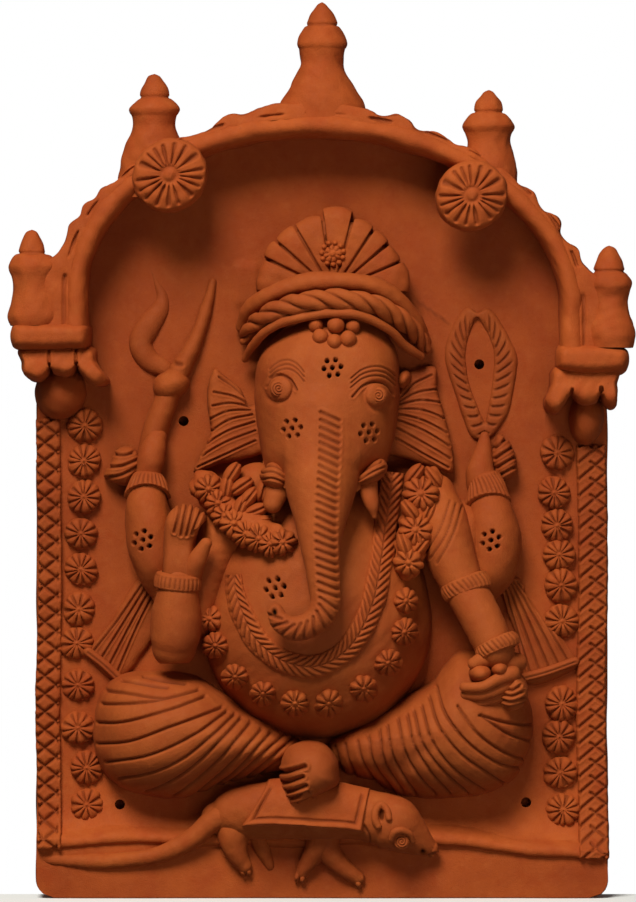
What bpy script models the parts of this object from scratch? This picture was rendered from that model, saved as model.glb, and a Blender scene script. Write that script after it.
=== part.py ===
"""A fired clay wall plaque: an arched niche with a seated elephant-headed figure and its mouse.

Every lump, coil, strip and button of clay is its own solid, luted on the piece behind it. Lengths are
millimetres: X runs across, heights are above the foot, and depth runs forward from the wall, along -Y. The
origin lies on the wall face, midway between the four fixing holes. Left and right are the viewer's.
"""

import math

import bmesh
import bpy
from mathutils import Matrix, Vector

MM = 0.001
LUTE_GAP = 0.3
DATUM_HEIGHT = 150.0
BUTTON_SIDES = 12
BUTTON_TAPER = 0.72
CUTTER_REACH = 64.0
COLLECTION_NAME = "elephant_relief_plaque"

# Slab and its four wall-fixing holes
SLAB_WIDTH = 286.0
SLAB_THICKNESS = 14.0
SLAB_CORNER_RADIUS = 9.0
SLAB_SHOULDER_DROP = 23.0
FIXING_HOLE_RADIUS = 2.5
FIXING_HOLES = [(-69.5, 238.5), (79.0, 267.0), (-101.5, 46.0), (102.5, 47.0)]

# Base moulding: a face, a lip above it and a slope back to the slab
BASE_FACE_DEPTH = 8.0
BASE_LIP_DEPTH = 11.0
BASE_LIP_HEIGHT = 24.0
BASE_LIP_THICKNESS = 5.0
BASE_SLOPE_HEIGHT = 35.0
BASE_SLOPE_TOE = 1.0

# Arch: half an ellipse whose right foot sits lower than its left
ARCH_CENTRE_X = 1.0
ARCH_SPRING_HEIGHT = 298.0
ARCH_HALF_SPAN = 118.0
ARCH_RISE = 82.0
ARCH_LEAN = 0.033
ARCH_STEPS = 28
BAND_WIDTH = 13.0
BAND_DEPTH = 30.0
BAND_ROUNDING = 4.0
CREST_WIDTH = 6.5
CREST_DEPTH = 18.0
CREST_SCALLOP = 3.2
CREST_SCALLOPS = 14
CREST_START_ANGLE = math.radians(24.0)

# Corbels, their lotus cups and buds
CORBEL_OVERHANG = 0.5
CORBEL_WIDTH = 37.0
CORBEL_TOP_HEIGHT = 282.4
CORBEL_HEIGHT = 13.5
CORBEL_DEPTH = 33.0
CORBEL_ROUNDING = 5.0
CUP_NECK_RADIUS = 13.0
CUP_LIP_RADIUS = 20.0
CUP_HEIGHT = 15.0
BUD_RADIUS = 12.5
BUD_LENGTH = 30.0
BUD_DROP = 3.0
CUP_INSET = 7.0
CUP_SINK = 3.0

# Finials on the arch: x, foot above the band's outer edge, height, ring radius, foot radius
FINIAL_DEPTH = 9.7
ARCH_FINIALS = {
    "finial_top": (0.0, 0.0, 55.0, 12.5, 17.5),
    "finial_upper_left": (-83.5, -13.6, 53.0, 12.5, 17.5),
    "finial_upper_right": (84.0, -14.5, 50.0, 12.5, 17.0),
}

# Finials on the corbels: distance from the corbel's inner end, height, ring radius, foot radius
FINIAL_LOWER_DEPTH = 16.7
CORBEL_FINIALS = {"left": (25.5, 46.5, 13.0, 13.5), "right": (26.5, 47.5, 12.0, 13.0)}

# Rosettes: x and height above the band's inner edge; side columns of buttons: distance in from the
# strip's inner edge, and heights
ARCH_ROSETTES = {"left": (-75.5, -5.0), "right": (76.0, -7.6)}
ARCH_ROSETTE_RADIUS = 19.0
ARCH_ROSETTE_DEPTH = 10.0
BUTTON_RADIUS = 7.6
BUTTON_DEPTH = 5.0
BUTTON_BED_WIDTH = 5.0
BUTTON_BED_DEPTH = 1.2
BUTTON_COLUMNS = {
    "left": (8.0, [236, 218.5, 200.5, 182, 164, 144, 127, 106, 84.5, 64.5, 46]),
    "right": (9.5, [222.5, 202.5, 186, 169.5, 153.5, 136, 97.5, 80, 62, 43.5]),
}

# Hatched strips down both edges
STRIP_WIDTH = 14.0
STRIP_DEPTH = 4.0
STRIP_FOOT_GAP = 1.0
STRIP_TOP = {"left": 237.0, "right": 221.0}

# Belly and head are hollow shells, open at the back and pierced by vent holes
BELLY_X = -2.5
BELLY_HEIGHT = 136.5
BELLY_RADIUS = 57.0
BELLY_RISE = 70.0
BELLY_DEPTH = 46.0
SHELL_WALL = 7.0
SHELL_LIFT = 1.5
HEAD_X = 1.5
HEAD_DEPTH_STRETCH = 1.15
HEAD_PROFILE = [(294, 0.0), (291, 14.0), (284, 25.0), (272, 33.0), (256, 36.5), (240, 36.0), (226, 33.0),
                (212, 27.0), (203, 18.0), (198, 0.0)]
VENT_RADIUS = 1.1
VENT_RING_RADIUS = 4.6
VENTS_IN_RING = 6
VENT_LENGTH = 60.0
HEAD_VENTS = [(5.5, 264.5), (-15.5, 234.5), (23.0, 232.5)]
BELLY_VENTS = [(-23.5, 155.5)]
LEFT_ARM_VENTS = [(-90.0, 178.5)]
RIGHT_ARM_VENTS = [(83.5, 179.0)]

# Limbs: x, depth of the centre line in front of the slab, height, radius
TRUNK = [(1.5, 36, 234, 19), (1.5, 44, 212, 19), (2, 51, 190, 14.5), (2.5, 56, 170, 11), (1, 57, 152, 10.5),
         (-6, 57, 141, 9.5), (-16, 57, 138, 8.5), (-22, 56, 144, 6.5)]
TUSK_LEFT = [(-21, 36, 209, 6.5), (-25, 37, 202, 6.5), (-28, 37, 195, 4.5)]
TUSK_RIGHT = [(23, 36, 209, 6.0), (24.5, 37, 201, 5.5), (26, 37, 190, 2.0)]
LEG_LEFT = [(-12, 14, 73, 9), (-36, 15, 76, 17), (-58, 16, 81, 24), (-81, 16, 86, 27.5), (-100, 15, 88, 20),
            (-111, 13, 89, 7)]
LEG_RIGHT = [(9, 14, 73, 9), (33, 15, 77, 19), (54, 16, 83, 25), (76, 16, 88, 28.5), (94, 15, 91, 21),
             (104, 13, 93, 8)]
REAR_ARM_LEFT = [(-79, 9, 153, 7), (-83.5, 10, 169, 14), (-85, 10, 181, 16.5), (-86, 9, 194, 14.5),
                 (-87, 8, 203, 9)]
REAR_ARM_RIGHT = [(79, 9, 152, 9), (83, 10, 168, 15), (84.5, 10, 180, 16.5), (84, 9, 193, 14),
                  (84, 8, 201, 10)]
UPPER_ARM_LEFT = [(-34, 12, 203, 11), (-48, 14, 181, 12.5), (-58, 14, 160, 12), (-65, 13, 142, 11)]
FOREARM_LEFT = [(-71, 26, 115, 13), (-72, 27, 132, 14), (-72, 28, 150, 13.5), (-71.5, 30, 163, 11)]
PALM_LEFT = [(-71, 31, 160, 8), (-69, 36, 176, 12), (-66, 38, 187, 11), (-64, 39, 194, 7)]
THUMB_LEFT = [(-61, 36, 169, 5), (-56, 37, 176, 4.5), (-52, 38, 182, 3)]
FRONT_ARM_RIGHT = [(52, 12, 200, 11), (60, 15, 180, 14), (69, 19, 161, 13.5), (78, 24, 143, 12),
                   (86, 29, 124, 10)]
REAR_HAND_LEFT = [(-87, 8, 204, 9), (-89, 8, 216, 9.5), (-90, 7, 228, 8)]
REAR_FINGERS_LEFT = [(-94, 9, 222, 5), (-100, 9, 217, 7), (-107, 7, 213, 3)]
REAR_HAND_RIGHT = [(84, 8, 202, 9), (83, 8, 214, 9), (81, 7, 228, 7.5)]
REAR_FINGERS_RIGHT = [(86, 9, 225, 5), (90.5, 10, 219, 7.5), (92, 8, 212, 4)]
GOAD_SHAFT = [(-88, 3, 230, 7), (-77, 3, 253, 6.5), (-75, 3, 258, 8.5), (-72.5, 2.5, 264, 6),
              (-65, 2, 284, 4.5), (-54.5, 1.5, 310, 1.6)]
GOAD_HOOK = [(-77, 2, 261, 5), (-88, 1.5, 267, 5.5), (-95, 1, 277, 5), (-90, 0.5, 290, 4),
             (-83, 0.2, 301, 3), (-85.5, 0, 311, 1.4)]
NOOSE_LOOP = [(80.5, 293), (92, 279), (95, 260), (89, 246), (81.5, 236.5), (72, 246), (66, 262), (69, 279)]
NOOSE_RADIUS = 5.5
NOOSE_DEPTH = 3.0
HAND_RIGHT = [(68, 36, 106, 5), (78, 37, 109, 9), (90, 37, 110, 10), (98, 35, 106, 6)]
SWEET = [(76, 40, 119, 3), (80, 41, 119, 6.5), (85, 41, 119, 6.5), (89, 40, 119, 3)]
FOOT = [(-5, 4, 67, 13), (-5, 22, 66, 14.5), (-6, 33, 62, 14), (-7, 42, 58, 8)]

# Mouse: body with head and legs, tail, saddle cloth
MOUSE_BODY = [(-55, 9, 42, 7), (-40, 11, 42, 12.5), (-12, 13, 43, 15), (14, 13, 41.5, 14), (31, 14, 39, 11),
              (42, 15, 33, 9), (54, 14, 23.5, 4)]
MOUSE_LEGS = [
    [(-46, 14, 36, 6), (-43, 14, 26, 4.5), (-39, 12, 16, 3.5)],
    [(-30, 13, 34, 5), (-28, 13, 25, 4), (-26, 12, 17, 3)],
    [(6, 15, 34, 6), (0, 14, 24, 4.5), (-9, 13, 13.5, 3.5)],
    [(6, 15, 32, 6), (12, 14, 20, 5), (21, 13, 10.5, 4)],
]
MOUSE_TAIL = [(-56, 14, 41, 5), (-70, 14, 31, 5.5), (-92, 13, 23, 5), (-114, 12, 19, 4),
              (-136, 11, 19, 1.5)]
SADDLE_SPAN = (-38.0, 27.0)
SADDLE_FOOT = 35.0
SADDLE_THICKNESS = 2.2
SADDLE_BACK = 4.0

# Ears, sashes and crown: flat outlines as x, height
EAR_DEPTH = 9.0
EAR_LEFT = [(-20, 258), (-33, 257), (-46, 261), (-55, 263), (-58, 250), (-61, 232), (-66, 211),
            (-48, 215), (-20, 222)]
EAR_RIGHT = [(20, 258), (38, 257), (46, 259), (56, 261), (59, 248), (62, 234), (67, 214), (50, 218),
             (20, 224)]
SASH_DEPTH = 4.0
SASH_LEFT = [(-91, 151), (-79, 149), (-84, 132), (-101, 108), (-104, 107), (-112.5, 117), (-110, 124)]
SASH_RIGHT = [(88, 154), (95, 157), (110, 134), (124, 121), (122, 112), (103, 109), (96, 128)]
FAN_X = 4.5
FAN_FOOT = 296.0
FAN_HALF_WIDTH = 38.0
FAN_RISE = 46.0
FAN_DEPTH = 17.0
FAN_LOBES = 9
FAN_LOBE_RISE = 2.6

# Coils round the brow: x, depth in front of the slab, height, and one radius each
CROWN_BAND = [(-42, 5, 276), (-30, 15, 294), (-11, 23, 305), (5, 25, 308), (24, 23, 306), (41, 15, 295),
              (51, 5, 277)]
CROWN_BAND_RADIUS = 7.5
CROWN_ROPE = [(-40, 6, 268), (-27, 22, 285), (-9, 33, 294.5), (5, 35.5, 297), (21, 33, 295),
              (37, 22, 285), (50, 6, 267)]
CROWN_ROPE_RADIUS = 6.5
HEADBAND = [(-40, 8, 260), (-25, 29, 277.5), (-8, 40, 286), (5, 42, 288), (19, 40, 286), (35, 29, 277),
            (50, 8, 259)]
HEADBAND_RADIUS = 3.6
BEAD_RADIUS = 4.4
BEADS = [(-2, 283), (6, 284), (14, 282.5), (-0.5, 277), (6, 275.5), (12.5, 277)]
EYE_RADIUS = 5.0
EYES = {"left": (-19.5, 255.0), "right": (27.0, 250.5)}
CROWN_FLOWER = (5.5, 322.0)
CROWN_FLOWER_RADIUS = 7.0
CROWN_FLOWER_DEPTH = 6.0

# Garlands on the body
BELLY_BAND_CENTRE = (-5.0, 153.0)
BELLY_BAND_SWEEP = 36.0
BELLY_BAND_RADIUS = 5.5
BELLY_BAND_START = math.radians(158.0)
BELLY_BAND_END = math.radians(372.0)
BELLY_BAND_TOP = (32.0, 186.0)
BELLY_BAND_SINK = 2.4
FLOWER_CENTRE = (-6.5, 143.5)
FLOWER_SWEEP = 47.0
FLOWER_COUNT = 10
FLOWER_RADIUS = 6.0
FLOWER_START = math.radians(176.0)
FLOWER_END = math.radians(373.0)
FLOWER_STRING_RADIUS = 2.4
GARLAND_RADIUS = 8.0
GARLAND_LEFT = [(-57, 20, 205), (-51, 22, 195), (-44, 25, 189), (-36, 30, 182), (-27, 34, 178)]
GARLAND_RIGHT = [(50, 22, 207), (49, 25, 196), (47, 28, 185), (44, 30, 174)]

# Clay tones as they are in daylight
SLAB_CLAY = (0.33, 0.095, 0.036)
FIGURE_CLAY = (0.40, 0.125, 0.045)
TRIM_CLAY = (0.37, 0.11, 0.040)
CLAY_ROUGHNESS = 0.88

SLAB_FACE = SLAB_THICKNESS + LUTE_GAP
CORBEL_INNER_X = ARCH_HALF_SPAN - CORBEL_OVERHANG
FORMS = {}
CUTTERS = {}


# Space and mesh helpers

def spot(x, depth, height):
    """A point in metres from x, depth in front of the wall and height above the foot, in millimetres."""
    return Vector((x, -depth, height - DATUM_HEIGHT)) * MM


def lean(x):
    """How far the arch has slumped below level at x."""
    return -ARCH_LEAN * (x - ARCH_CENTRE_X)


def through(points, steps):
    """A smooth curve through points of any width, with so many steps to each stretch."""
    ends = [points[0]] + list(points) + [points[-1]]
    path = []
    for a, b, c, d in zip(ends, ends[1:], ends[2:], ends[3:]):
        for step in range(steps):
            t = step / steps
            weights = (
                (-t + 2 * t**2 - t**3) / 2,
                (2 - 5 * t**2 + 3 * t**3) / 2,
                (t + 4 * t**2 - 3 * t**3) / 2,
                (-(t**2) + t**3) / 2,
            )
            path.append(tuple(sum(w * p[k] for w, p in zip(weights, (a, b, c, d))) for k in range(len(b))))
    return path + [tuple(points[-1])]


def mesh_from(maker, turn_out=True):
    """A mesh that a bmesh maker fills, with its faces turned out."""
    work = bmesh.new()
    maker(work)
    if turn_out:
        bmesh.ops.recalc_face_normals(work, faces=work.faces)
    mesh = bpy.data.meshes.new("form")
    work.to_mesh(mesh)
    work.free()
    return mesh


def mesh_of_object(source, weld=0.00002):
    """The evaluated mesh of a helper object in world space, welded; the helper is removed."""
    bpy.context.view_layer.update()
    graph = bpy.context.evaluated_depsgraph_get()
    mesh = bpy.data.meshes.new_from_object(source.evaluated_get(graph))
    mesh.transform(source.matrix_world)
    bpy.data.objects.remove(source)

    def welded(work):
        work.from_mesh(mesh)
        bmesh.ops.remove_doubles(work, verts=work.verts, dist=weld)

    return mesh_from(welded)


def helper(data, name="helper"):
    """A helper object that links its data into the scene."""
    made = bpy.data.objects.new(name, data)
    bpy.context.scene.collection.objects.link(made)
    return made


def trimmed(mesh, depth=SLAB_FACE):
    """The mesh cut flat at a depth, keeping what lies in front of it."""

    def cut(work):
        work.from_mesh(mesh)
        geometry = work.verts[:] + work.edges[:] + work.faces[:]
        found = bmesh.ops.bisect_plane(
            work, geom=geometry, plane_co=spot(0, depth, 0), plane_no=(0, 1, 0), clear_outer=True
        )
        edges = [item for item in found["geom_cut"] if isinstance(item, bmesh.types.BMEdge)]
        bmesh.ops.triangle_fill(work, use_beauty=True, edges=edges)

    return mesh_from(cut)


def swollen(mesh, by):
    """The mesh with every face moved out by the same distance."""

    def swell(work):
        work.from_mesh(mesh)
        bmesh.ops.triangulate(work, faces=work.faces)
        work.normal_update()
        moves = [vert.normal * vert.calc_shell_factor() * by * MM for vert in work.verts]
        for vert, move in zip(work.verts, moves):
            vert.co += move

    return mesh_from(swell, turn_out=False)


def joined(meshes):
    """Several meshes as one, still separate shells."""

    def gather(work):
        for mesh in meshes:
            work.from_mesh(mesh)

    return mesh_from(gather)


# Forms: closed meshes in world space

def plate(outline, back, front, rounding=0.0):
    """A flat outline of (x, height) points, from one depth to another, with its front edge rounded."""
    curve = bpy.data.curves.new("plate", "CURVE")
    curve.dimensions = "2D"
    curve.fill_mode = "BOTH"
    curve.extrude = (front - back) / 2 * MM
    spline = curve.splines.new("POLY")
    spline.points.add(len(outline) - 1)
    for point, (x, height) in zip(spline.points, outline):
        point.co = (x * MM, height * MM, 0, 1)
    spline.use_cyclic_u = True
    source = helper(curve)
    stand_up = Matrix.Rotation(math.pi / 2, 4, "X")
    source.matrix_world = Matrix.Translation(spot(0, (front + back) / 2, 0)) @ stand_up
    mesh = mesh_of_object(source)
    if not rounding:
        return mesh

    def rounded(work):
        work.from_mesh(mesh)
        bmesh.ops.dissolve_limit(work, angle_limit=0.01, verts=work.verts, edges=work.edges)
        work.edges.ensure_lookup_table()
        rim = [e for e in work.edges if all(v.co.y < spot(0, front, 0).y + 0.1 * MM for v in e.verts)]
        bmesh.ops.bevel(work, geom=rim, offset=rounding * MM, segments=2, profile=0.5, affect="EDGES",
                        clamp_overlap=True)

    return mesh_from(rounded)


def limb(points, steps=2, sides=4, closed=False):
    """A round tube that swells and tapers along (x, depth in front of the slab, height, radius) points."""
    path = points if closed else through(points, steps)
    curve = bpy.data.curves.new("limb", "CURVE")
    curve.dimensions = "3D"
    curve.bevel_depth = MM
    curve.bevel_resolution = sides
    curve.use_fill_caps = not closed
    spline = curve.splines.new("POLY")
    spline.points.add(len(path) - 1)
    for point, (x, depth, height, radius) in zip(spline.points, path):
        point.co = (*spot(x, SLAB_THICKNESS + depth, height), 1)
        point.radius = radius
    spline.use_cyclic_u = closed
    return mesh_of_object(helper(curve))


def coil(points, radius, steps=3, sides=2):
    """A tube of one radius along (x, depth in front of the slab, height) points."""
    return limb([(*point, radius) for point in points], steps, sides)


def turned(profile, x, depth, stretch=1.0, sides=20):
    """A profile of (height, radius) points, from the top down, turned about an upright axis."""
    mesh = bpy.data.meshes.new("profile")
    points = [(radius * MM, 0, height * MM) for height, radius in profile]
    mesh.from_pydata(points, [(i, i + 1) for i in range(len(points) - 1)], [])
    source = helper(mesh)
    screw = source.modifiers.new("turn", "SCREW")
    screw.steps = screw.render_steps = sides
    screw.use_merge_vertices = True
    screw.merge_threshold = 0.00005
    half_step = Matrix.Rotation(math.pi / sides, 4, "Z")
    deepen = Matrix.Diagonal((1, stretch, 1, 1))
    source.matrix_world = Matrix.Translation(spot(x, depth, 0)) @ deepen @ half_step
    return mesh_of_object(source)


def dome(x, height, depth, radii, rise=None, segments=24, rings=14):
    """An ellipsoid of (across, depth, down) radii whose upper half can rise further."""
    across, forward, down = radii

    def ball(work):
        half_step = Matrix.Rotation(math.pi / segments, 4, "Z")
        bmesh.ops.create_uvsphere(work, u_segments=segments, v_segments=rings, radius=1, matrix=half_step)
        for vert in work.verts:
            vertical = (rise or down) if vert.co.z > 0 else down
            vert.co = Vector((vert.co.x * across, vert.co.y * forward, vert.co.z * vertical)) * MM
            vert.co += spot(x, depth, height)

    return mesh_from(ball)


def button(x, height, back, front, radius, sides=BUTTON_SIDES):
    """A round button that faces forward, with a domed edge."""

    def disc(work):
        turn = Matrix.Translation(spot(x, back, height)) @ Matrix.Rotation(math.pi / 2, 4, "X")
        depth = (front - back) * MM
        lift = Matrix.Translation((0, 0, depth / 2))
        bmesh.ops.create_cone(work, cap_ends=True, segments=sides, radius1=radius * MM,
                              radius2=radius * BUTTON_TAPER * MM, depth=depth, matrix=turn @ lift)

    return mesh_from(disc)


# Pieces: named objects, each seated on the pieces that carry it

def clay(name, colour):
    """A matt fired clay of one tone."""
    material = bpy.data.materials.new("clay_" + name)
    material.use_nodes = True
    shader = material.node_tree.nodes["Principled BSDF"]
    shader.inputs["Base Color"].default_value = (*colour, 1)
    shader.inputs["Roughness"].default_value = CLAY_ROUGHNESS
    shader.inputs["Metallic"].default_value = 0.0
    return material


def cutter_from(mesh, name):
    """A hidden object that cuts others."""
    made = bpy.data.objects.new("cut_" + name, mesh)
    made.hide_render = True
    made.display_type = "WIRE"
    bpy.data.collections["cutters"].objects.link(made)
    return made


def combine(piece, mesh, operation, name):
    """Adds a Boolean modifier to a piece."""
    modifier = piece.modifiers.new(name, "BOOLEAN")
    modifier.operation = operation
    modifier.object = cutter_from(mesh, f"{piece.name}_{name}")
    return modifier


def seat(piece, *carriers):
    """Cuts away what a piece shares with its carriers, leaving a lute gap all round."""
    for carrier in carriers:
        if carrier not in CUTTERS:
            CUTTERS[carrier] = cutter_from(swollen(FORMS[carrier], LUTE_GAP), carrier)
        modifier = piece.modifiers.new("seat_" + carrier, "BOOLEAN")
        modifier.object = CUTTERS[carrier]


def piece(name, form, colour, on=()):
    """A named clay piece with its carriers."""
    form.name = name
    FORMS[name] = form.copy()
    form.materials.append(clay(name, colour))
    form.shade_smooth()
    form.set_sharp_from_angle(angle=math.radians(35))
    made = bpy.data.objects.new(name, form)
    bpy.data.collections[COLLECTION_NAME].objects.link(made)
    seat(made, *on)
    return made


def pierce(target, vents, depth):
    """Rosettes of vent holes: a ring of pin holes round a middle one, from a depth forward."""
    pins = []
    for x, height in vents:
        turns = [2 * math.pi * i / VENTS_IN_RING for i in range(VENTS_IN_RING)]
        ring = [(math.cos(t) * VENT_RING_RADIUS, math.sin(t) * VENT_RING_RADIUS) for t in turns]
        for dx, dz in [(0.0, 0.0)] + ring:
            pins.append(button(x + dx, height + dz, depth, depth + VENT_LENGTH, VENT_RADIUS, 6))
    combine(target, joined(pins), "DIFFERENCE", "vents")


def belly_front(x, height):
    """Depth of the belly's skin, in front of the slab, at a place in front of it."""
    vertical = BELLY_RISE if height > BELLY_HEIGHT else BELLY_RADIUS
    across = (x - BELLY_X) / BELLY_RADIUS
    upright = (height - BELLY_HEIGHT) / vertical
    return BELLY_DEPTH * math.sqrt(max(0.02, 1 - across**2 - upright**2)) + SHELL_LIFT + LUTE_GAP


def head_front(x, height):
    """Depth of the brow's skin, in front of the slab, at a place on the head."""
    for (top, wide), (low, wider) in zip(HEAD_PROFILE, HEAD_PROFILE[1:]):
        if low <= height <= top:
            radius = wide + (wider - wide) * (top - height) / (top - low)
            return HEAD_DEPTH_STRETCH * math.sqrt(max(1.0, radius**2 - (x - HEAD_X) ** 2)) + SHELL_LIFT
    return LUTE_GAP


def arch_point(angle, offset):
    """A point on the arch's ellipse, moved out by an offset."""
    x = ARCH_CENTRE_X + (ARCH_HALF_SPAN + offset) * math.cos(angle)
    return x, ARCH_SPRING_HEIGHT + (ARCH_RISE + offset) * math.sin(angle) + lean(x)


def arch_height(x, offset):
    """Height of the arch's ellipse at x, moved out by an offset."""
    across = (x - ARCH_CENTRE_X) / (ARCH_HALF_SPAN + offset)
    return ARCH_SPRING_HEIGHT + (ARCH_RISE + offset) * math.sqrt(1 - across**2) + lean(x)


def arch_arc(offset, start, end, steps=ARCH_STEPS):
    """Points along the arch at an offset, between two angles."""
    return [arch_point(start + (end - start) * i / steps, offset) for i in range(steps + 1)]


# The architecture

def straighten(mesh):
    """Gives a button straight sides."""
    front = min(vert.co.y for vert in mesh.vertices)
    rear = [vert.co for vert in mesh.vertices if vert.co.y > front + MM]
    middle = sum((vert.co for vert in mesh.vertices), Vector()) / len(mesh.vertices)
    reach = max((co - middle).xz.length for co in rear)
    for vert in mesh.vertices:
        out = (vert.co - middle).xz.normalized() * reach
        vert.co.x, vert.co.z = middle.x + out.x, middle.z + out.y


def make_slab():
    half = SLAB_WIDTH / 2
    corner = SLAB_CORNER_RADIUS
    turns = [math.radians(15 * i) for i in range(7)]
    left = [(-half + corner - corner * math.cos(t), corner - corner * math.sin(t)) for t in turns]
    right = [(half - corner + corner * math.sin(t), corner - corner * math.cos(t)) for t in turns]
    crown = arch_arc(BAND_WIDTH + CREST_WIDTH / 2, 0, math.pi)
    shoulder_right = (half, crown[0][1] - SLAB_SHOULDER_DROP)
    shoulder_left = (-half, crown[-1][1] - SLAB_SHOULDER_DROP)
    outline = left + right + [shoulder_right] + crown + [shoulder_left]
    slab = piece("back_slab", plate(outline, 0, SLAB_THICKNESS), SLAB_CLAY)
    holes = []
    for x, height in FIXING_HOLES:
        hole = button(x, height, -SLAB_THICKNESS, 2 * SLAB_THICKNESS, FIXING_HOLE_RADIUS, 16)
        straighten(hole)
        holes.append(hole)
    combine(slab, joined(holes), "DIFFERENCE", "fixing_holes")


def make_base():
    half = SLAB_WIDTH / 2
    face = SLAB_THICKNESS + BASE_FACE_DEPTH
    lip = SLAB_THICKNESS + BASE_LIP_DEPTH
    profile = [(SLAB_FACE, 0), (face, 0), (face, BASE_LIP_HEIGHT), (lip, BASE_LIP_HEIGHT + 1),
               (lip, BASE_LIP_HEIGHT + BASE_LIP_THICKNESS), (SLAB_FACE + BASE_SLOPE_TOE, BASE_SLOPE_HEIGHT),
               (SLAB_FACE, BASE_SLOPE_HEIGHT)]

    def moulding(work):
        left = [work.verts.new(spot(-half, depth, height)) for depth, height in profile]
        right = [work.verts.new(spot(half, depth, height)) for depth, height in profile]
        work.faces.new(left)
        work.faces.new(right)
        for i in range(len(profile)):
            j = (i + 1) % len(profile)
            work.faces.new((left[i], left[j], right[j], right[i]))

    piece("base_moulding", mesh_from(moulding), SLAB_CLAY)


def make_arch():
    outer = arch_arc(BAND_WIDTH, 0, math.pi)
    inner = arch_arc(0, math.pi, 0)
    foot = CORBEL_TOP_HEIGHT + LUTE_GAP
    feet_left = [(x, foot + lean(-CORBEL_INNER_X)) for x in (outer[-1][0], inner[0][0])]
    feet_right = [(x, foot + lean(CORBEL_INNER_X)) for x in (inner[-1][0], outer[0][0])]
    outline = outer + feet_left + inner + feet_right
    front = SLAB_FACE + BAND_DEPTH
    piece("arch_band", plate(outline, SLAB_FACE, front, BAND_ROUNDING), SLAB_CLAY)

    start, end = CREST_START_ANGLE, math.pi - CREST_START_ANGLE
    steps = CREST_SCALLOPS * 4
    edge = []
    for i in range(steps + 1):
        ripple = CREST_SCALLOP * abs(math.sin(math.pi * CREST_SCALLOPS * i / steps))
        edge.append(arch_point(start + (end - start) * i / steps, BAND_WIDTH + CREST_WIDTH + ripple))
    outline = edge + arch_arc(BAND_WIDTH + LUTE_GAP, end, start)
    piece("arch_crest", plate(outline, SLAB_FACE, SLAB_FACE + CREST_DEPTH), SLAB_CLAY)


def make_corbels():
    for side, way in (("left", -1), ("right", 1)):
        top = CORBEL_TOP_HEIGHT + lean(way * CORBEL_INNER_X)
        foot = top - CORBEL_HEIGHT
        near, far = way * CORBEL_INNER_X, way * (CORBEL_INNER_X + CORBEL_WIDTH)
        outline = [(near, foot), (far, foot), (far, top), (near, top)]
        front = SLAB_FACE + CORBEL_DEPTH
        piece(f"corbel_{side}", plate(outline, SLAB_FACE, front, CORBEL_ROUNDING), SLAB_CLAY)

        x = way * (CORBEL_INNER_X + CORBEL_WIDTH / 2 - CUP_INSET)
        depth = SLAB_FACE + CUP_NECK_RADIUS - CUP_SINK
        rim = foot - LUTE_GAP
        lip = rim - CUP_HEIGHT
        waist = (CUP_NECK_RADIUS + CUP_LIP_RADIUS) / 2 - 1
        cup = [(rim, 0), (rim, CUP_NECK_RADIUS), (rim - CUP_HEIGHT / 2, waist), (lip, CUP_LIP_RADIUS),
               (lip, 0)]
        piece(f"lotus_cup_{side}", trimmed(turned(cup, x, depth)), TRIM_CLAY)
        radii = (BUD_RADIUS, BUD_RADIUS, BUD_LENGTH / 2)
        bud = dome(x, lip - BUD_DROP, depth, radii, segments=16, rings=10)
        piece(f"lotus_bud_{side}", trimmed(bud), TRIM_CLAY, on=[f"lotus_cup_{side}"])


def finial_profile(height, ring, foot):
    """Knob, ring, waist and spreading foot, from the top down, above a foot at zero."""
    waist = 0.84 * ring
    tip = [(height, 0), (0.97 * height, 0.26 * ring)]
    knob = [(0.86 * height, 0.5 * ring), (0.78 * height, 0.56 * ring)]
    collar = [(0.70 * height, 0.86 * ring), (0.64 * height, ring), (0.59 * height, 0.94 * ring)]
    flare = [(0.48 * height, waist), (0.32 * height, (waist + foot) / 2), (0.12 * height, foot)]
    return tip + knob + collar + flare + [(0, foot), (0, 0)]


def make_finials():
    opening = arch_arc(BAND_WIDTH + CREST_WIDTH / 4, 0, math.pi)
    FORMS["arch_opening"] = plate(opening, -CUTTER_REACH, CUTTER_REACH)
    carriers = ["back_slab", "arch_band", "arch_crest"]
    for name, (x, rise, height, ring, spread) in ARCH_FINIALS.items():
        base = arch_height(x, BAND_WIDTH) + rise
        profile = [(base + up, radius) for up, radius in finial_profile(height, ring, spread)]
        form = turned(profile, x, SLAB_FACE + FINIAL_DEPTH, sides=16)
        piece(name, form, SLAB_CLAY, on=carriers + ["arch_opening"])

    for side, way in (("left", -1), ("right", 1)):
        inward, height, ring, spread = CORBEL_FINIALS[side]
        base = CORBEL_TOP_HEIGHT + lean(way * CORBEL_INNER_X) + LUTE_GAP
        profile = [(base + up, radius) for up, radius in finial_profile(height, ring, spread)]
        form = turned(profile, way * (CORBEL_INNER_X + inward), SLAB_FACE + FINIAL_LOWER_DEPTH, sides=16)
        piece(f"finial_lower_{side}", form, SLAB_CLAY, on=carriers)


def make_rosettes():
    for side, (x, rise) in ARCH_ROSETTES.items():
        height = arch_height(x, 0) + rise
        back = SLAB_FACE + BAND_DEPTH + LUTE_GAP
        form = button(x, height, back, back + ARCH_ROSETTE_DEPTH, ARCH_ROSETTE_RADIUS, 24)
        finial = f"finial_upper_{side}"
        piece(f"arch_rosette_{side}", form, TRIM_CLAY, on=[finial])


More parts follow.
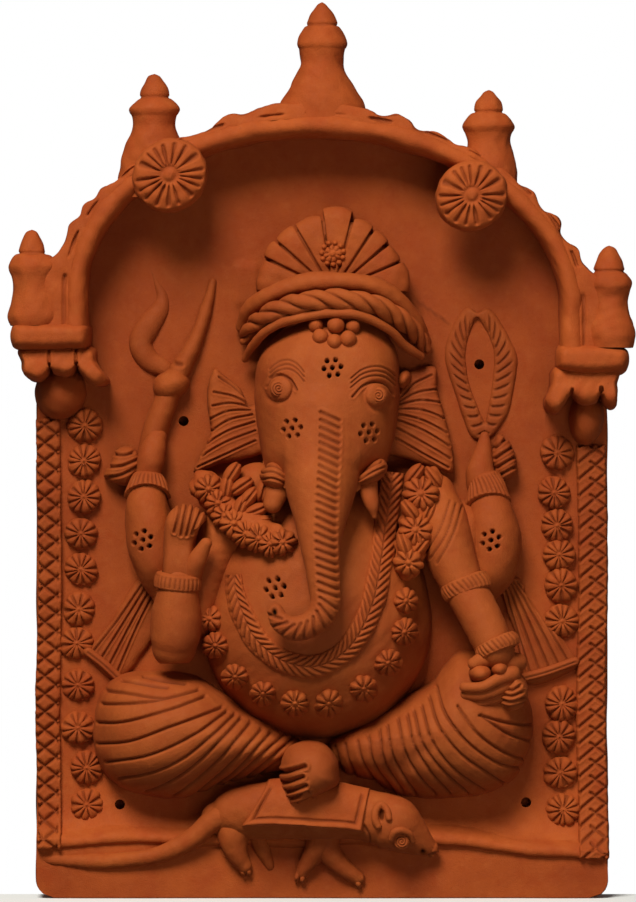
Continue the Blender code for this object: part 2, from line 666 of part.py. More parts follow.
def make_strips_and_buttons():
    for side, way in (("left", -1), ("right", 1)):
        edge = way * SLAB_WIDTH / 2
        inner = edge - way * STRIP_WIDTH
        foot, top = BASE_SLOPE_HEIGHT + STRIP_FOOT_GAP, STRIP_TOP[side]
        outline = [(edge, foot), (inner, foot), (inner, top), (edge, top)]
        strip = plate(outline, SLAB_FACE, SLAB_FACE + STRIP_DEPTH)
        ends = ["base_moulding", f"lotus_bud_{side}", f"lotus_cup_{side}"]
        piece(f"hatched_strip_{side}", strip, TRIM_CLAY, on=ends)

        inset, heights = BUTTON_COLUMNS[side]
        x = inner - way * inset
        wide = BUTTON_BED_WIDTH / 2
        low, high = min(heights), max(heights)
        outline = [(x - wide, low), (x + wide, low), (x + wide, high), (x - wide, high)]
        bed = plate(outline, SLAB_FACE, SLAB_FACE + BUTTON_BED_DEPTH)
        front = SLAB_FACE + BUTTON_DEPTH
        buttons = joined([button(x, height, SLAB_FACE, front, BUTTON_RADIUS) for height in heights])
        row = piece(f"button_row_{side}", bed, TRIM_CLAY)
        combine(row, buttons, "UNION", "buttons")
        seat(row, *ends)


# The figure

def make_body():
    radii = (BELLY_RADIUS, BELLY_DEPTH, BELLY_RADIUS)
    hollow = tuple(radius - SHELL_WALL for radius in radii)
    axis = SLAB_FACE + SHELL_LIFT
    form = trimmed(dome(BELLY_X, BELLY_HEIGHT, axis, radii, BELLY_RISE))
    belly = piece("belly", form, FIGURE_CLAY)
    inside = dome(BELLY_X, BELLY_HEIGHT, axis, hollow, BELLY_RISE - SHELL_WALL, 16, 10)
    combine(belly, inside, "DIFFERENCE", "hollow")
    pierce(belly, BELLY_VENTS, SLAB_FACE + SHELL_WALL)

    form = trimmed(turned(HEAD_PROFILE, HEAD_X, axis, HEAD_DEPTH_STRETCH))
    head = piece("head", form, FIGURE_CLAY, on=["belly"])
    inside = [(height, radius - SHELL_WALL) for height, radius in HEAD_PROFILE if radius > SHELL_WALL + 1]
    inside = [(inside[0][0], 0)] + inside + [(inside[-1][0], 0)]
    combine(head, turned(inside, HEAD_X, axis, HEAD_DEPTH_STRETCH, 14), "DIFFERENCE", "hollow")
    pierce(head, HEAD_VENTS, SLAB_FACE + SHELL_WALL)

    for side, path in (("left", LEG_LEFT), ("right", LEG_RIGHT)):
        piece(f"leg_{side}", trimmed(limb(path)), FIGURE_CLAY, on=["belly"])


def make_face():
    piece("trunk", limb(TRUNK, 3), FIGURE_CLAY, on=["head", "belly"])
    tusks = {"left": TUSK_LEFT, "right": TUSK_RIGHT}
    ears = {"left": EAR_LEFT, "right": EAR_RIGHT}
    for side in ("left", "right"):
        piece(f"tusk_{side}", limb(tusks[side], 2, 2), FIGURE_CLAY, on=["head", "trunk", "belly"])
        outline = through(ears[side], 2)
        form = plate(outline, SLAB_FACE, SLAB_FACE + EAR_DEPTH)
        piece(f"ear_{side}", form, FIGURE_CLAY, on=["head", "belly"])
        x, height = EYES[side]
        depth = SLAB_FACE + head_front(x, height)
        ball = dome(x, height, depth, (EYE_RADIUS,) * 3, segments=12, rings=8)
        piece(f"eye_{side}", ball, FIGURE_CLAY, on=["head"])


def make_crown():
    piece("crown_band", trimmed(coil(CROWN_BAND, CROWN_BAND_RADIUS)), FIGURE_CLAY, on=["head"])
    rope = trimmed(coil(CROWN_ROPE, CROWN_ROPE_RADIUS))
    piece("crown_rope", rope, FIGURE_CLAY, on=["head", "crown_band"])
    piece("headband", trimmed(coil(HEADBAND, HEADBAND_RADIUS)), FIGURE_CLAY,
          on=["head", "crown_rope", "ear_left", "ear_right"])
    steps = FAN_LOBES * 4
    outline = []
    for i in range(steps + 1):
        turn = math.pi * i / steps
        lobe = 1 + FAN_LOBE_RISE / FAN_RISE * abs(math.sin(FAN_LOBES * turn))
        x = FAN_X + FAN_HALF_WIDTH * lobe * math.cos(turn)
        outline.append((x, FAN_FOOT + FAN_RISE * lobe * math.sin(turn)))
    fan = plate(outline, SLAB_FACE, SLAB_FACE + FAN_DEPTH)
    piece("crown_fan", fan, FIGURE_CLAY, on=["head", "crown_band", "crown_rope"])
    x, height = CROWN_FLOWER
    back = SLAB_FACE + FAN_DEPTH + LUTE_GAP
    flower = button(x, height, back, back + CROWN_FLOWER_DEPTH, CROWN_FLOWER_RADIUS)
    piece("crown_flower", flower, TRIM_CLAY, on=["crown_band"])

    def bead(x, height):
        depth = SLAB_FACE + head_front(x, height)
        return dome(x, height, depth, (BEAD_RADIUS,) * 3, segments=10, rings=6)

    beads = piece("forehead_beads", bead(*BEADS[0]), TRIM_CLAY)
    for i, place in enumerate(BEADS[1:]):
        combine(beads, bead(*place), "UNION", f"bead_{i}")
    seat(beads, "head", "headband", "crown_rope")


def make_arms():
    rear = {"left": (REAR_ARM_LEFT, LEFT_ARM_VENTS), "right": (REAR_ARM_RIGHT, RIGHT_ARM_VENTS)}
    for side, (path, vents) in rear.items():
        arm = piece(f"rear_arm_{side}", trimmed(limb(path)), FIGURE_CLAY, on=["belly"])
        thick = [point for point in path if point[3] > SHELL_WALL + 3]
        bore = [(x, depth, height, radius - SHELL_WALL) for x, depth, height, radius in thick]
        combine(arm, limb(bore, 2, 2), "DIFFERENCE", "hollow")
        pierce(arm, vents, SLAB_FACE + SHELL_WALL)

    piece("upper_arm_left", trimmed(limb(UPPER_ARM_LEFT)), FIGURE_CLAY,
          on=["belly", "head", "rear_arm_left", "leg_left"])
    piece("forearm_left", trimmed(limb(FOREARM_LEFT)), FIGURE_CLAY,
          on=["leg_left", "belly", "rear_arm_left", "upper_arm_left"])
    palm = piece("palm_left", limb(PALM_LEFT), FIGURE_CLAY)
    combine(palm, limb(THUMB_LEFT, 2, 2), "UNION", "thumb")
    seat(palm, "forearm_left", "rear_arm_left", "upper_arm_left", "belly")
    piece("front_arm_right", trimmed(limb(FRONT_ARM_RIGHT)), FIGURE_CLAY,
          on=["belly", "head", "rear_arm_right", "leg_right"])
    piece("front_hand_right", limb(HAND_RIGHT), FIGURE_CLAY, on=["leg_right", "front_arm_right", "belly"])
    piece("sweet", limb(SWEET), TRIM_CLAY, on=["front_hand_right", "front_arm_right", "leg_right"])
    hands = {"left": (REAR_HAND_LEFT, REAR_FINGERS_LEFT), "right": (REAR_HAND_RIGHT, REAR_FINGERS_RIGHT)}
    for side, (path, fingers) in hands.items():
        hand = piece(f"rear_hand_{side}", trimmed(limb(path)), FIGURE_CLAY)
        combine(hand, trimmed(limb(fingers, 2, 2)), "UNION", "fingers")
        seat(hand, f"rear_arm_{side}")


def make_attributes():
    goad = piece("goad", trimmed(limb(GOAD_SHAFT, 2, 2)), FIGURE_CLAY)
    combine(goad, trimmed(limb(GOAD_HOOK, 3, 2)), "UNION", "hook")
    seat(goad, "rear_hand_left")
    loop = through(NOOSE_LOOP + NOOSE_LOOP[:1], 3)[:-1]
    ring = [(x, NOOSE_DEPTH, height, NOOSE_RADIUS) for x, height in loop]
    piece("noose", trimmed(limb(ring, sides=2, closed=True)), FIGURE_CLAY, on=["rear_hand_right"])
    for side, outline in (("left", SASH_LEFT), ("right", SASH_RIGHT)):
        form = plate(outline, SLAB_FACE, SLAB_FACE + SASH_DEPTH)
        arm = "forearm_left" if side == "left" else "front_arm_right"
        under = [f"leg_{side}", f"rear_arm_{side}", arm, f"button_row_{side}"]
        piece(f"sash_{side}", form, FIGURE_CLAY, on=under)


def make_garlands():
    def on_belly(x, height, sink):
        return x, belly_front(x, height) - sink, height

    def arc(centre, sweep, start, end, count):
        turns = [start + (end - start) * i / (count - 1) for i in range(count)]
        return [(centre[0] + sweep * math.cos(t), centre[1] + sweep * math.sin(t)) for t in turns]

    sweep = arc(BELLY_BAND_CENTRE, BELLY_BAND_SWEEP, BELLY_BAND_START, BELLY_BAND_END, 13)
    path = [on_belly(x, height, BELLY_BAND_SINK) for x, height in sweep + [BELLY_BAND_TOP]]
    band = coil(path, BELLY_BAND_RADIUS, 1)
    piece("belly_band", band, TRIM_CLAY, on=["belly", "trunk", "head", "tusk_right"])

    places = arc(FLOWER_CENTRE, FLOWER_SWEEP, FLOWER_START, FLOWER_END, FLOWER_COUNT)
    string = coil([on_belly(x, height, 0) for x, height in places], FLOWER_STRING_RADIUS, 2)
    flowers = piece("belly_flowers", string, TRIM_CLAY)
    balls = []
    for x, height in places:
        depth = SLAB_THICKNESS + on_belly(x, height, 0)[1]
        balls.append(dome(x, height, depth, (FLOWER_RADIUS,) * 3, segments=8, rings=6))
    combine(flowers, joined(balls), "UNION", "flowers")
    seat(flowers, "belly", "belly_band", "leg_left", "leg_right", "forearm_left", "foot", "upper_arm_left")

    rows = {"left": GARLAND_LEFT, "right": GARLAND_RIGHT}
    near = {
        "left": ["belly", "head", "upper_arm_left", "rear_arm_left", "forearm_left", "palm_left", "ear_left",
                 "tusk_left", "trunk"],
        "right": ["belly", "head", "front_arm_right", "rear_arm_right", "ear_right", "tusk_right",
                  "belly_band", "trunk"],
    }
    for side, row in rows.items():
        blooms = []
        for x, depth, height in row:
            radii = (GARLAND_RADIUS,) * 3
            blooms.append(dome(x, height, SLAB_FACE + depth, radii, segments=12, rings=8))
        garland = piece(f"shoulder_garland_{side}", blooms[0], TRIM_CLAY)
        for i, bloom in enumerate(blooms[1:]):
            combine(garland, bloom, "UNION", f"bloom_{i}")
        seat(garland, *near[side])


# The mouse under the figure's foot

def make_mouse():
    body = limb(MOUSE_BODY)
    mouse = piece("mouse_body", trimmed(body), FIGURE_CLAY)
    for i, leg in enumerate(MOUSE_LEGS):
        combine(mouse, trimmed(limb(leg, 2, 2)), "UNION", f"leg_{i}")
    seat(mouse, "base_moulding", "leg_left", "leg_right", "belly")
    piece("mouse_tail", trimmed(limb(MOUSE_TAIL, 3, 2)), FIGURE_CLAY, on=["base_moulding", "mouse_body"])

    cloth = piece("saddle_cloth", swollen(trimmed(body), SADDLE_THICKNESS + LUTE_GAP), TRIM_CLAY)
    low, high = SADDLE_SPAN
    depth = SLAB_FACE + 2 * max(radius for *_, radius in MOUSE_BODY)
    outline = [(low, SADDLE_FOOT), (high, SADDLE_FOOT), (high, BELLY_HEIGHT), (low, BELLY_HEIGHT)]
    block = plate(outline, SLAB_FACE + SADDLE_BACK, SLAB_FACE + depth)
    combine(cloth, block, "INTERSECT", "cloth_edge")
    seat(cloth, "mouse_body", "leg_left", "leg_right", "belly")
    piece("foot", trimmed(limb(FOOT)), FIGURE_CLAY,
          on=["belly", "leg_left", "leg_right", "mouse_body", "saddle_cloth"])


def main():
    for old in list(bpy.data.objects):
        bpy.data.objects.remove(old)
    for name in (COLLECTION_NAME, "cutters"):
        bpy.context.scene.collection.children.link(bpy.data.collections.new(name))
    bpy.data.collections["cutters"].hide_render = True
    make_slab()
    make_base()
    make_arch()
    make_corbels()
    make_finials()
    make_rosettes()
    make_body()
    make_face()
    make_crown()
    make_arms()
    make_strips_and_buttons()
    make_attributes()
    make_mouse()
    make_garlands()


main()
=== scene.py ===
"""A terracotta wall plaque in relief: an elephant-headed figure and its mouse in an arched niche.

Shapes are arrays of (x, depth, height) points in millimetres: x across, depth forward from the wall and
height above the foot. Left and right are the viewer's.
"""

import math

import bpy
import numpy as np
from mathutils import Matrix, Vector


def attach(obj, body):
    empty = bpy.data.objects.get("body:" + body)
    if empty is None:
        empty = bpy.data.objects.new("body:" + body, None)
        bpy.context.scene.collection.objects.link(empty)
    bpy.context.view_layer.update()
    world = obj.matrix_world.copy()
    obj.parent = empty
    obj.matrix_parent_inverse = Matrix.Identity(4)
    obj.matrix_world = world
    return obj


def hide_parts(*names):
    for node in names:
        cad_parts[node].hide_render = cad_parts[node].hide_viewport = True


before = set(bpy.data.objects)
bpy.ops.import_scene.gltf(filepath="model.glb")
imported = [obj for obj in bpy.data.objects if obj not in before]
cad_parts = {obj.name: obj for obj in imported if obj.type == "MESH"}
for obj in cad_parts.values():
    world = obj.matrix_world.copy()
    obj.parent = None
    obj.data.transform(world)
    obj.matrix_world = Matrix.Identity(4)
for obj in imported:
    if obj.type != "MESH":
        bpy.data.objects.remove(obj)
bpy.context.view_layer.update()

MM = 0.001  # metres in a millimetre
DATUM = 150.0  # height of the shared frame's origin above the foot
SLAB = 14.0  # thickness of the slab
SUNK = 12.0  # depth, inside the slab, at which the lumps set on it begin
BEHIND = 3.0  # how far behind the middle of a lump its inside is taken to be
FAR = 1e3  # further off than any stroke or dot
PI = math.pi
TAU = 2 * PI


# Small tools

def run_length(c):
    """Distance along a path at each of its points."""
    return np.concatenate([[0], np.cumsum(np.linalg.norm(np.diff(c, axis=0), axis=1))])


def turns(count):
    """Equal angles round a circle, as a column."""
    return np.linspace(0, TAU, count, endpoint=False)[:, None]


def grid(x, depth, z):
    """Points of a surface, from three arrays whose shapes go together."""
    return np.stack(np.broadcast_arrays(x, depth, z), -1)


def smooth(points, count, closed=False):
    """A Catmull-Rom curve through points of any width, resampled at equal steps of arc length."""
    p = np.asarray(points, float)
    if closed:
        p = np.vstack([p[-1], p, p[0], p[1]])
    else:
        p = np.vstack([2 * p[0] - p[1], p, 2 * p[-1] - p[-2]])
    parts = 40
    t = np.linspace(0, 1, parts, endpoint=False)[:, None]
    weights = ((-t + 2 * t**2 - t**3) / 2, (2 - 5 * t**2 + 3 * t**3) / 2, (t + 4 * t**2 - 3 * t**3) / 2,
               (-(t**2) + t**3) / 2)
    spans = len(p) - 3
    curve = sum(w[None] * p[k:k + spans, None] for k, w in enumerate(weights)).reshape(-1, p.shape[1])
    curve = np.vstack([curve, p[-2]])
    reach = min(3, p.shape[1])
    length = run_length(curve[:, :reach])
    at = np.linspace(0, length[-1], count, endpoint=not closed)
    return np.stack([np.interp(at, length, curve[:, k]) for k in range(curve.shape[1])], -1)


def unit(v):
    """Vectors brought to a length of 1."""
    return v / np.maximum(np.linalg.norm(v, axis=-1, keepdims=True), 1e-9)


def ramp(x, low, high):
    """Smooth step from 0 at low to 1 at high."""
    t = np.clip((x - low) / (high - low), 0, 1)
    return t * t * (3 - 2 * t)


def bell(x, width):
    """A soft hump of height 1 about 0: exp(-(x / width)^2)."""
    return np.exp(-((x / width) ** 2))


def beats(phase, width):
    """A soft hump in the middle of each whole step of a phase."""
    return bell(np.abs(phase % 1 - 0.5), width)


def lumps(p, size, seed):
    """Soft unevenness between -1 and 1: a few sine waves of about one size, in seeded directions."""
    waves, level = 6, 3.2
    rng = np.random.default_rng(seed)
    total = 0
    for _ in range(waves):
        way = unit(rng.normal(size=3)) * TAU / size * rng.uniform(0.6, 1.5)
        total = total + np.sin(p @ way + rng.uniform(0, TAU))
    return total / level


def hand(p, seed, coarse, fine):
    """The unevenness of a finger-smoothed surface: broad swells and smaller dabs."""
    return coarse * lumps(p, 26, seed) + fine * lumps(p, 7, seed + 500)


def inside(co):
    """A point behind the middle of some points."""
    return co.reshape(-1, 3).mean(0) - [0, BEHIND, 0]


def facing(p, wrap):
    """Unit normals of a grid, turned away from its inside."""
    if wrap:
        around = np.concatenate([p[-1:], p, p[:1]])
    else:
        around = np.concatenate([2 * p[:1] - p[1:2], p, 2 * p[-1:] - p[-2:-1]])
    du = around[2:] - around[:-2]
    dv = np.gradient(p, axis=1)
    n = unit(np.cross(du, dv))
    return n if (n * (p - inside(p))).sum() > 0 else -n


def patch(p, wrap=False, height=0, groove=None, hole=None):
    """A grid of points moved along its normals by a height, and how far each lies in a groove or hole, which
    the clay paints as shade.
    """
    shape = p.shape[:2]
    moved = p + facing(p, wrap) * np.broadcast_to(height, shape)[..., None]
    zero = np.zeros(shape)
    return {"p": moved, "wrap": wrap,
            "groove": zero if groove is None else np.broadcast_to(groove, shape),
            "hole": zero if hole is None else np.broadcast_to(hole, shape)}


def backed(item, depth=None):
    """Closes a patch behind: a lump with the middle of its rim, or a swept strip with its first edge at a
    depth."""
    p = item["p"]
    if depth is None:
        edge = p[:, -1:] * 0 + p[:, -1].mean(0)
    else:
        edge = p[:, :1] * [1, 0, 1] + [0, depth, 0]
    layers = {label: np.pad(item[label], ((0, 0), (0, 1))) for label in ("groove", "hole")}
    return item | layers | {"p": np.concatenate([p, edge], 1)}


def stroke_distance(p, lines):
    """Distance in the front plane from each point to the nearest of some lines, curved if they bend."""
    x, z = p[..., 0], p[..., 2]
    near = np.full(x.shape, FAR)
    for line in lines:
        line = smooth(line, 14) if len(line) > 2 else line
        for a, b in zip(line[:-1], line[1:]):
            dx, dz = b[0] - a[0], b[1] - a[1]
            t = np.clip(((x - a[0]) * dx + (z - a[1]) * dz) / max(dx * dx + dz * dz, 1e-9), 0, 1)
            near = np.minimum(near, np.hypot(x - a[0] - t * dx, z - a[1] - t * dz))
    return near


def strokes(p, lines, width, depth, lip=0.2):
    """Incised lines: a rounded furrow with a low burr on both sides. Returns the height and the groove."""
    near = stroke_distance(p, lines)
    furrow = bell(near, width)
    return depth * (lip * bell(near - 2.1 * width, width) - furrow), furrow


def worked(p, seed, coarse, fine, lines=(), width=0.6, depth=1.1, lip=0.2, dark=1.0):
    """A lump or limb smoothed by hand, with any lines scored in it; dark scales the painted shade in their
    grooves.
    """
    cut, groove = strokes(p, lines, width=width, depth=depth, lip=lip)
    return patch(p, True, cut + hand(p, seed, coarse, fine), dark * groove)


def stamps(p, centres, turn, ring=4.6):
    """Seven pierced dots: six round one. Returns the height and the hole, which the clay paints near black as
    shade.
    """
    radius, depth = 1.1, 5.0
    x, z = p[..., 0], p[..., 2]
    near = np.full(x.shape, FAR)
    for cx, cz in centres:
        near = np.minimum(near, np.hypot(x - cx, z - cz))
        for k in range(6):
            a = turn + k * TAU / 6
            near = np.minimum(near, np.hypot(x - cx - ring * np.cos(a), z - cz - ring * np.sin(a)))
    hole = 1 - ramp(near, radius * 0.75, radius * 1.15)
    return -depth * hole, hole


def sides(tangent):
    """Two directions square to a path: one lying in the front plane and one towards the front."""
    side = unit(np.cross(tangent, [0.0, 1.0, 0.0]))
    front = np.cross(side, tangent)
    return side, np.where(front[:, 1:2] < 0, -front, front)


def tube(points, along, around, flat=1.0):
    """A round-ended limb: circles of a changing radius, flattened in depth, along a smooth path of
    (x, depth, height, radius) points. The first axis runs round it and the second along it."""
    path = smooth(points, along)
    c, r = path[:, :3], path[:, 3]
    tangent = unit(np.gradient(c, axis=0))
    k = max(5, around // 8)
    tip = np.linspace(0, PI / 2, k, endpoint=False)[::-1] + PI / 2 / k
    start = c[0] - tangent[0] * (r[0] * np.sin(tip))[:, None]
    stop = c[-1] + tangent[-1] * (r[-1] * np.sin(tip[::-1]))[:, None]
    centre = np.vstack([start, c, stop])
    radius = np.concatenate([r[0] * np.cos(tip), r, r[-1] * np.cos(tip[::-1])])
    radius = np.maximum(radius, 0.01)
    tangent = np.vstack([np.repeat(tangent[:1], k, 0), tangent, np.repeat(tangent[-1:], k, 0)])
    side, front = sides(tangent)
    a = turns(around)[..., None]
    return centre + radius[:, None] * (np.cos(a) * side + flat * np.sin(a) * front)


def collar(points, ticks, slant=0.0, sag=0.0, cut=0.8, stop=0.95):
    """A bangle or frill round a limb: circles along a path, turned in at both ends, with cuts across that
    stand at equal angles, may slant and stop short of the far edge; sag draws the front of that edge back."""
    around, along = 170, 26
    path = smooth(points, along)
    c, r = path[:, :3], path[:, 3]
    tangent = unit(np.gradient(c, axis=0))
    side, front = sides(tangent)
    s = np.linspace(0, 1, along)
    r = r - 2.2 * (bell(s, 0.06) + bell(1 - s, 0.06))
    a = turns(around)
    p = c + r[:, None] * (np.cos(a)[..., None] * side + np.sin(a)[..., None] * front)
    p = p - (sag * s * np.maximum(np.sin(a), 0))[..., None] * tangent
    phase = a * ticks / TAU + slant * s + 0.1 * np.sin(5 * a)
    groove = beats(phase, 0.17) * ramp(s, 0.08, 0.3) * (1 - ramp(s, stop - 0.15, stop))
    return patch(p, True, -cut * groove + hand(p, 125, 0.2, 0.12), 0.9 * groove)


def rings(count, e):
    """Radii from 0 to 1, close together near the rim, and the height of a superellipse over them,
    (1 - r^(2 / e))^(e / 2): the smaller e is, the squarer its shoulder."""
    r = np.sin(np.linspace(0.004, PI / 2, count))
    return r, np.maximum(1 - r ** (2 / e), 0) ** (e / 2)


def mound(outline, back, rise, around, count, e, centre=None, ridge=None):
    """A rounded lump over a closed outline of (x, height) points: rings shrink towards a centre, or towards
    a level ridge between two x, while a superellipse lifts them from the back."""
    rim = smooth(outline, around, closed=True)
    r, h = rings(count, e)
    c = rim.mean(0) if centre is None else np.asarray(centre, float)
    c = np.broadcast_to(c, rim.shape).copy()
    if ridge is not None:
        c[:, 0] = np.clip(rim[:, 0], *ridge)
        r[0] = 0.0
    xz = c[:, None] + (rim - c)[:, None] * r[None, :, None]
    return grid(xz[..., 0], back + rise * h, xz[..., 1])


def oval(x, z, wide, tall, lean=0.0):
    """A closed ellipse of sixteen (x, height) points, turned by an angle."""
    a = turns(16)[:, 0]
    u, v = wide * np.cos(a), tall * np.sin(a)
    return np.stack([x + u * np.cos(lean) - v * np.sin(lean), z + u * np.sin(lean) + v * np.cos(lean)], -1)


def skin(p, x, z):
    """Depth of a surface at a place in the front plane: the mean of the grid points round the nearest one."""
    away = np.hypot(p[..., 0] - x, p[..., 2] - z)
    first = p[..., 1].ravel()[(away - 0.02 * p[..., 1]).argmin()]
    weight = bell(away, 1.0) * (np.abs(p[..., 1] - first) < 4.0) + 1e-9
    return float((p[..., 1] * weight).sum() / weight.sum())


def rosette(x, depth, z, radius, rise, cuts, turn, hub, dome, tilt=(0, 0), count=19, *, cut, notch, rim,
            boss=0.5):
    """A pressed flower: a thick disc or dome, radial wedge cuts from its hub nearly to its rim, and a boss.
    The cuts stand a little unevenly, as pressed by hand."""
    a = turns(cuts * 10)
    r, h = rings(count, dome)
    uneven = a + turn + 0.07 * np.sin(3 * a + 5 * turn) + 0.05 * np.sin(5 * a + 9 * turn)
    off = np.abs((cuts * uneven / TAU + 0.5) % 1 - 0.5) * 2
    stop = rim * (1 + 0.04 * np.sin(2 * a + 7 * turn))
    wedge = bell(off, 0.22 + 0.16 * r) * ramp(r, hub, hub + 0.16) * (1 - ramp(r, stop - 0.06, stop + 0.06))
    moat = 0.5 * bell(r - hub, 0.07) * np.ones_like(a)
    middle = boss * (1 - ramp(r, hub * 0.3, hub)) * np.ones_like(a)
    lift = rise * h + middle - cut * np.maximum(wedge, moat)
    spread = radius * r * (1 - notch * bell(off, 0.4) * ramp(r, 0.7, 1)) * (1 + 0.03 * np.sin(2 * a + turn))
    px, pz = spread * np.cos(a), spread * np.sin(a)
    p = grid(x + px, depth + lift + tilt[0] * px + tilt[1] * pz, z + pz)
    groove = np.clip(np.maximum(wedge, 0.6 * moat), 0, 1)
    return patch(p, True, 0.3 * lumps(p, 9, int(x * 7 + z * 13) % 997), groove)


def coils(paths, along=30, around=26, seed=115):
    """Round-ended lengths of clay laid side by side, a little flattened."""
    return [worked(tube(path, along=along, around=around, flat=0.95), seed, 0.15, 0.12) for path in paths]


def eyeball(x, depth, z, radius, rise):
    """A coiled eye: a low dome with a spiral groove, r = pitch * (turn + angle / tau), in its inner part."""
    coil = 0.85 * radius
    pitch = coil / 2.4
    p = mound(oval(x, z, radius, radius), back=depth, rise=rise, around=90, count=38, e=0.8)
    dx, dz = p[..., 0] - x, p[..., 2] - z
    away = np.hypot(dx, dz)
    groove = beats(away / pitch - np.arctan2(dz, dx) / TAU, 0.2)
    groove = groove * (1 - ramp(away, coil - 0.08 * radius, coil))
    return patch(p, True, -0.7 * groove, 0.9 * groove)


def add(name, patches, slot, node=None):
    """Makes one mesh object of patches, in the shared frame, and hides the part of model.glb that it stands
    for:
    the one of its name, or another."""
    patches = [patches] if isinstance(patches, dict) else patches
    points, faces, groove, hole = [], [], [], []
    base = 0
    for item in patches:
        p = item["p"]
        nu, nv = p.shape[:2]
        index = np.arange(nu * nv).reshape(nu, nv) + base
        after = np.roll(index, -1, 0) if item["wrap"] else index[1:]
        here = index if item["wrap"] else index[:-1]
        quads = np.stack([here[:, :-1], after[:, :-1], after[:, 1:], here[:, 1:]], -1).reshape(-1, 4)
        co = p.reshape(-1, 3)
        a, b, c, d = (co[quads[:, k] - base] for k in range(4))
        turned = (np.cross(c - a, d - b) * ((a + c) / 2 - inside(co))).sum() < 0
        faces.append(quads if turned else quads[:, ::-1])
        points.append(co)
        groove.append(item["groove"].ravel())
        hole.append(item["hole"].ravel())
        base += nu * nv
    co = np.concatenate(points)
    co = np.stack([co[:, 0], -co[:, 1], np.maximum(co[:, 2], 0.0) - DATUM], -1) * MM
    quads = np.concatenate(faces)
    mesh = bpy.data.meshes.new(name)
    mesh.vertices.add(len(co))
    mesh.vertices.foreach_set("co", co.astype(np.float32).ravel())
    mesh.loops.add(quads.size)
    mesh.loops.foreach_set("vertex_index", quads.ravel().astype(np.int32))
    mesh.polygons.add(len(quads))
    mesh.polygons.foreach_set("loop_start", np.arange(0, quads.size, 4, dtype=np.int32))
    mesh.polygons.foreach_set("use_smooth", np.ones(len(quads), bool))
    # the groove and hole shares become mesh attributes, which the clay turns into painted shade
    for label, values in (("groove", groove), ("hole", hole)):
        layer = mesh.attributes.new(label, "FLOAT", "POINT")
        layer.data.foreach_set("value", np.concatenate(values).astype(np.float32))
    mesh.update(calc_edges=True)
    made = bpy.data.objects.new(name, mesh)
    bpy.context.scene.collection.objects.link(made)
    mesh.materials.append(CLAY[slot])
    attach(made, "root")
    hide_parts(node or name)


# Fired clay

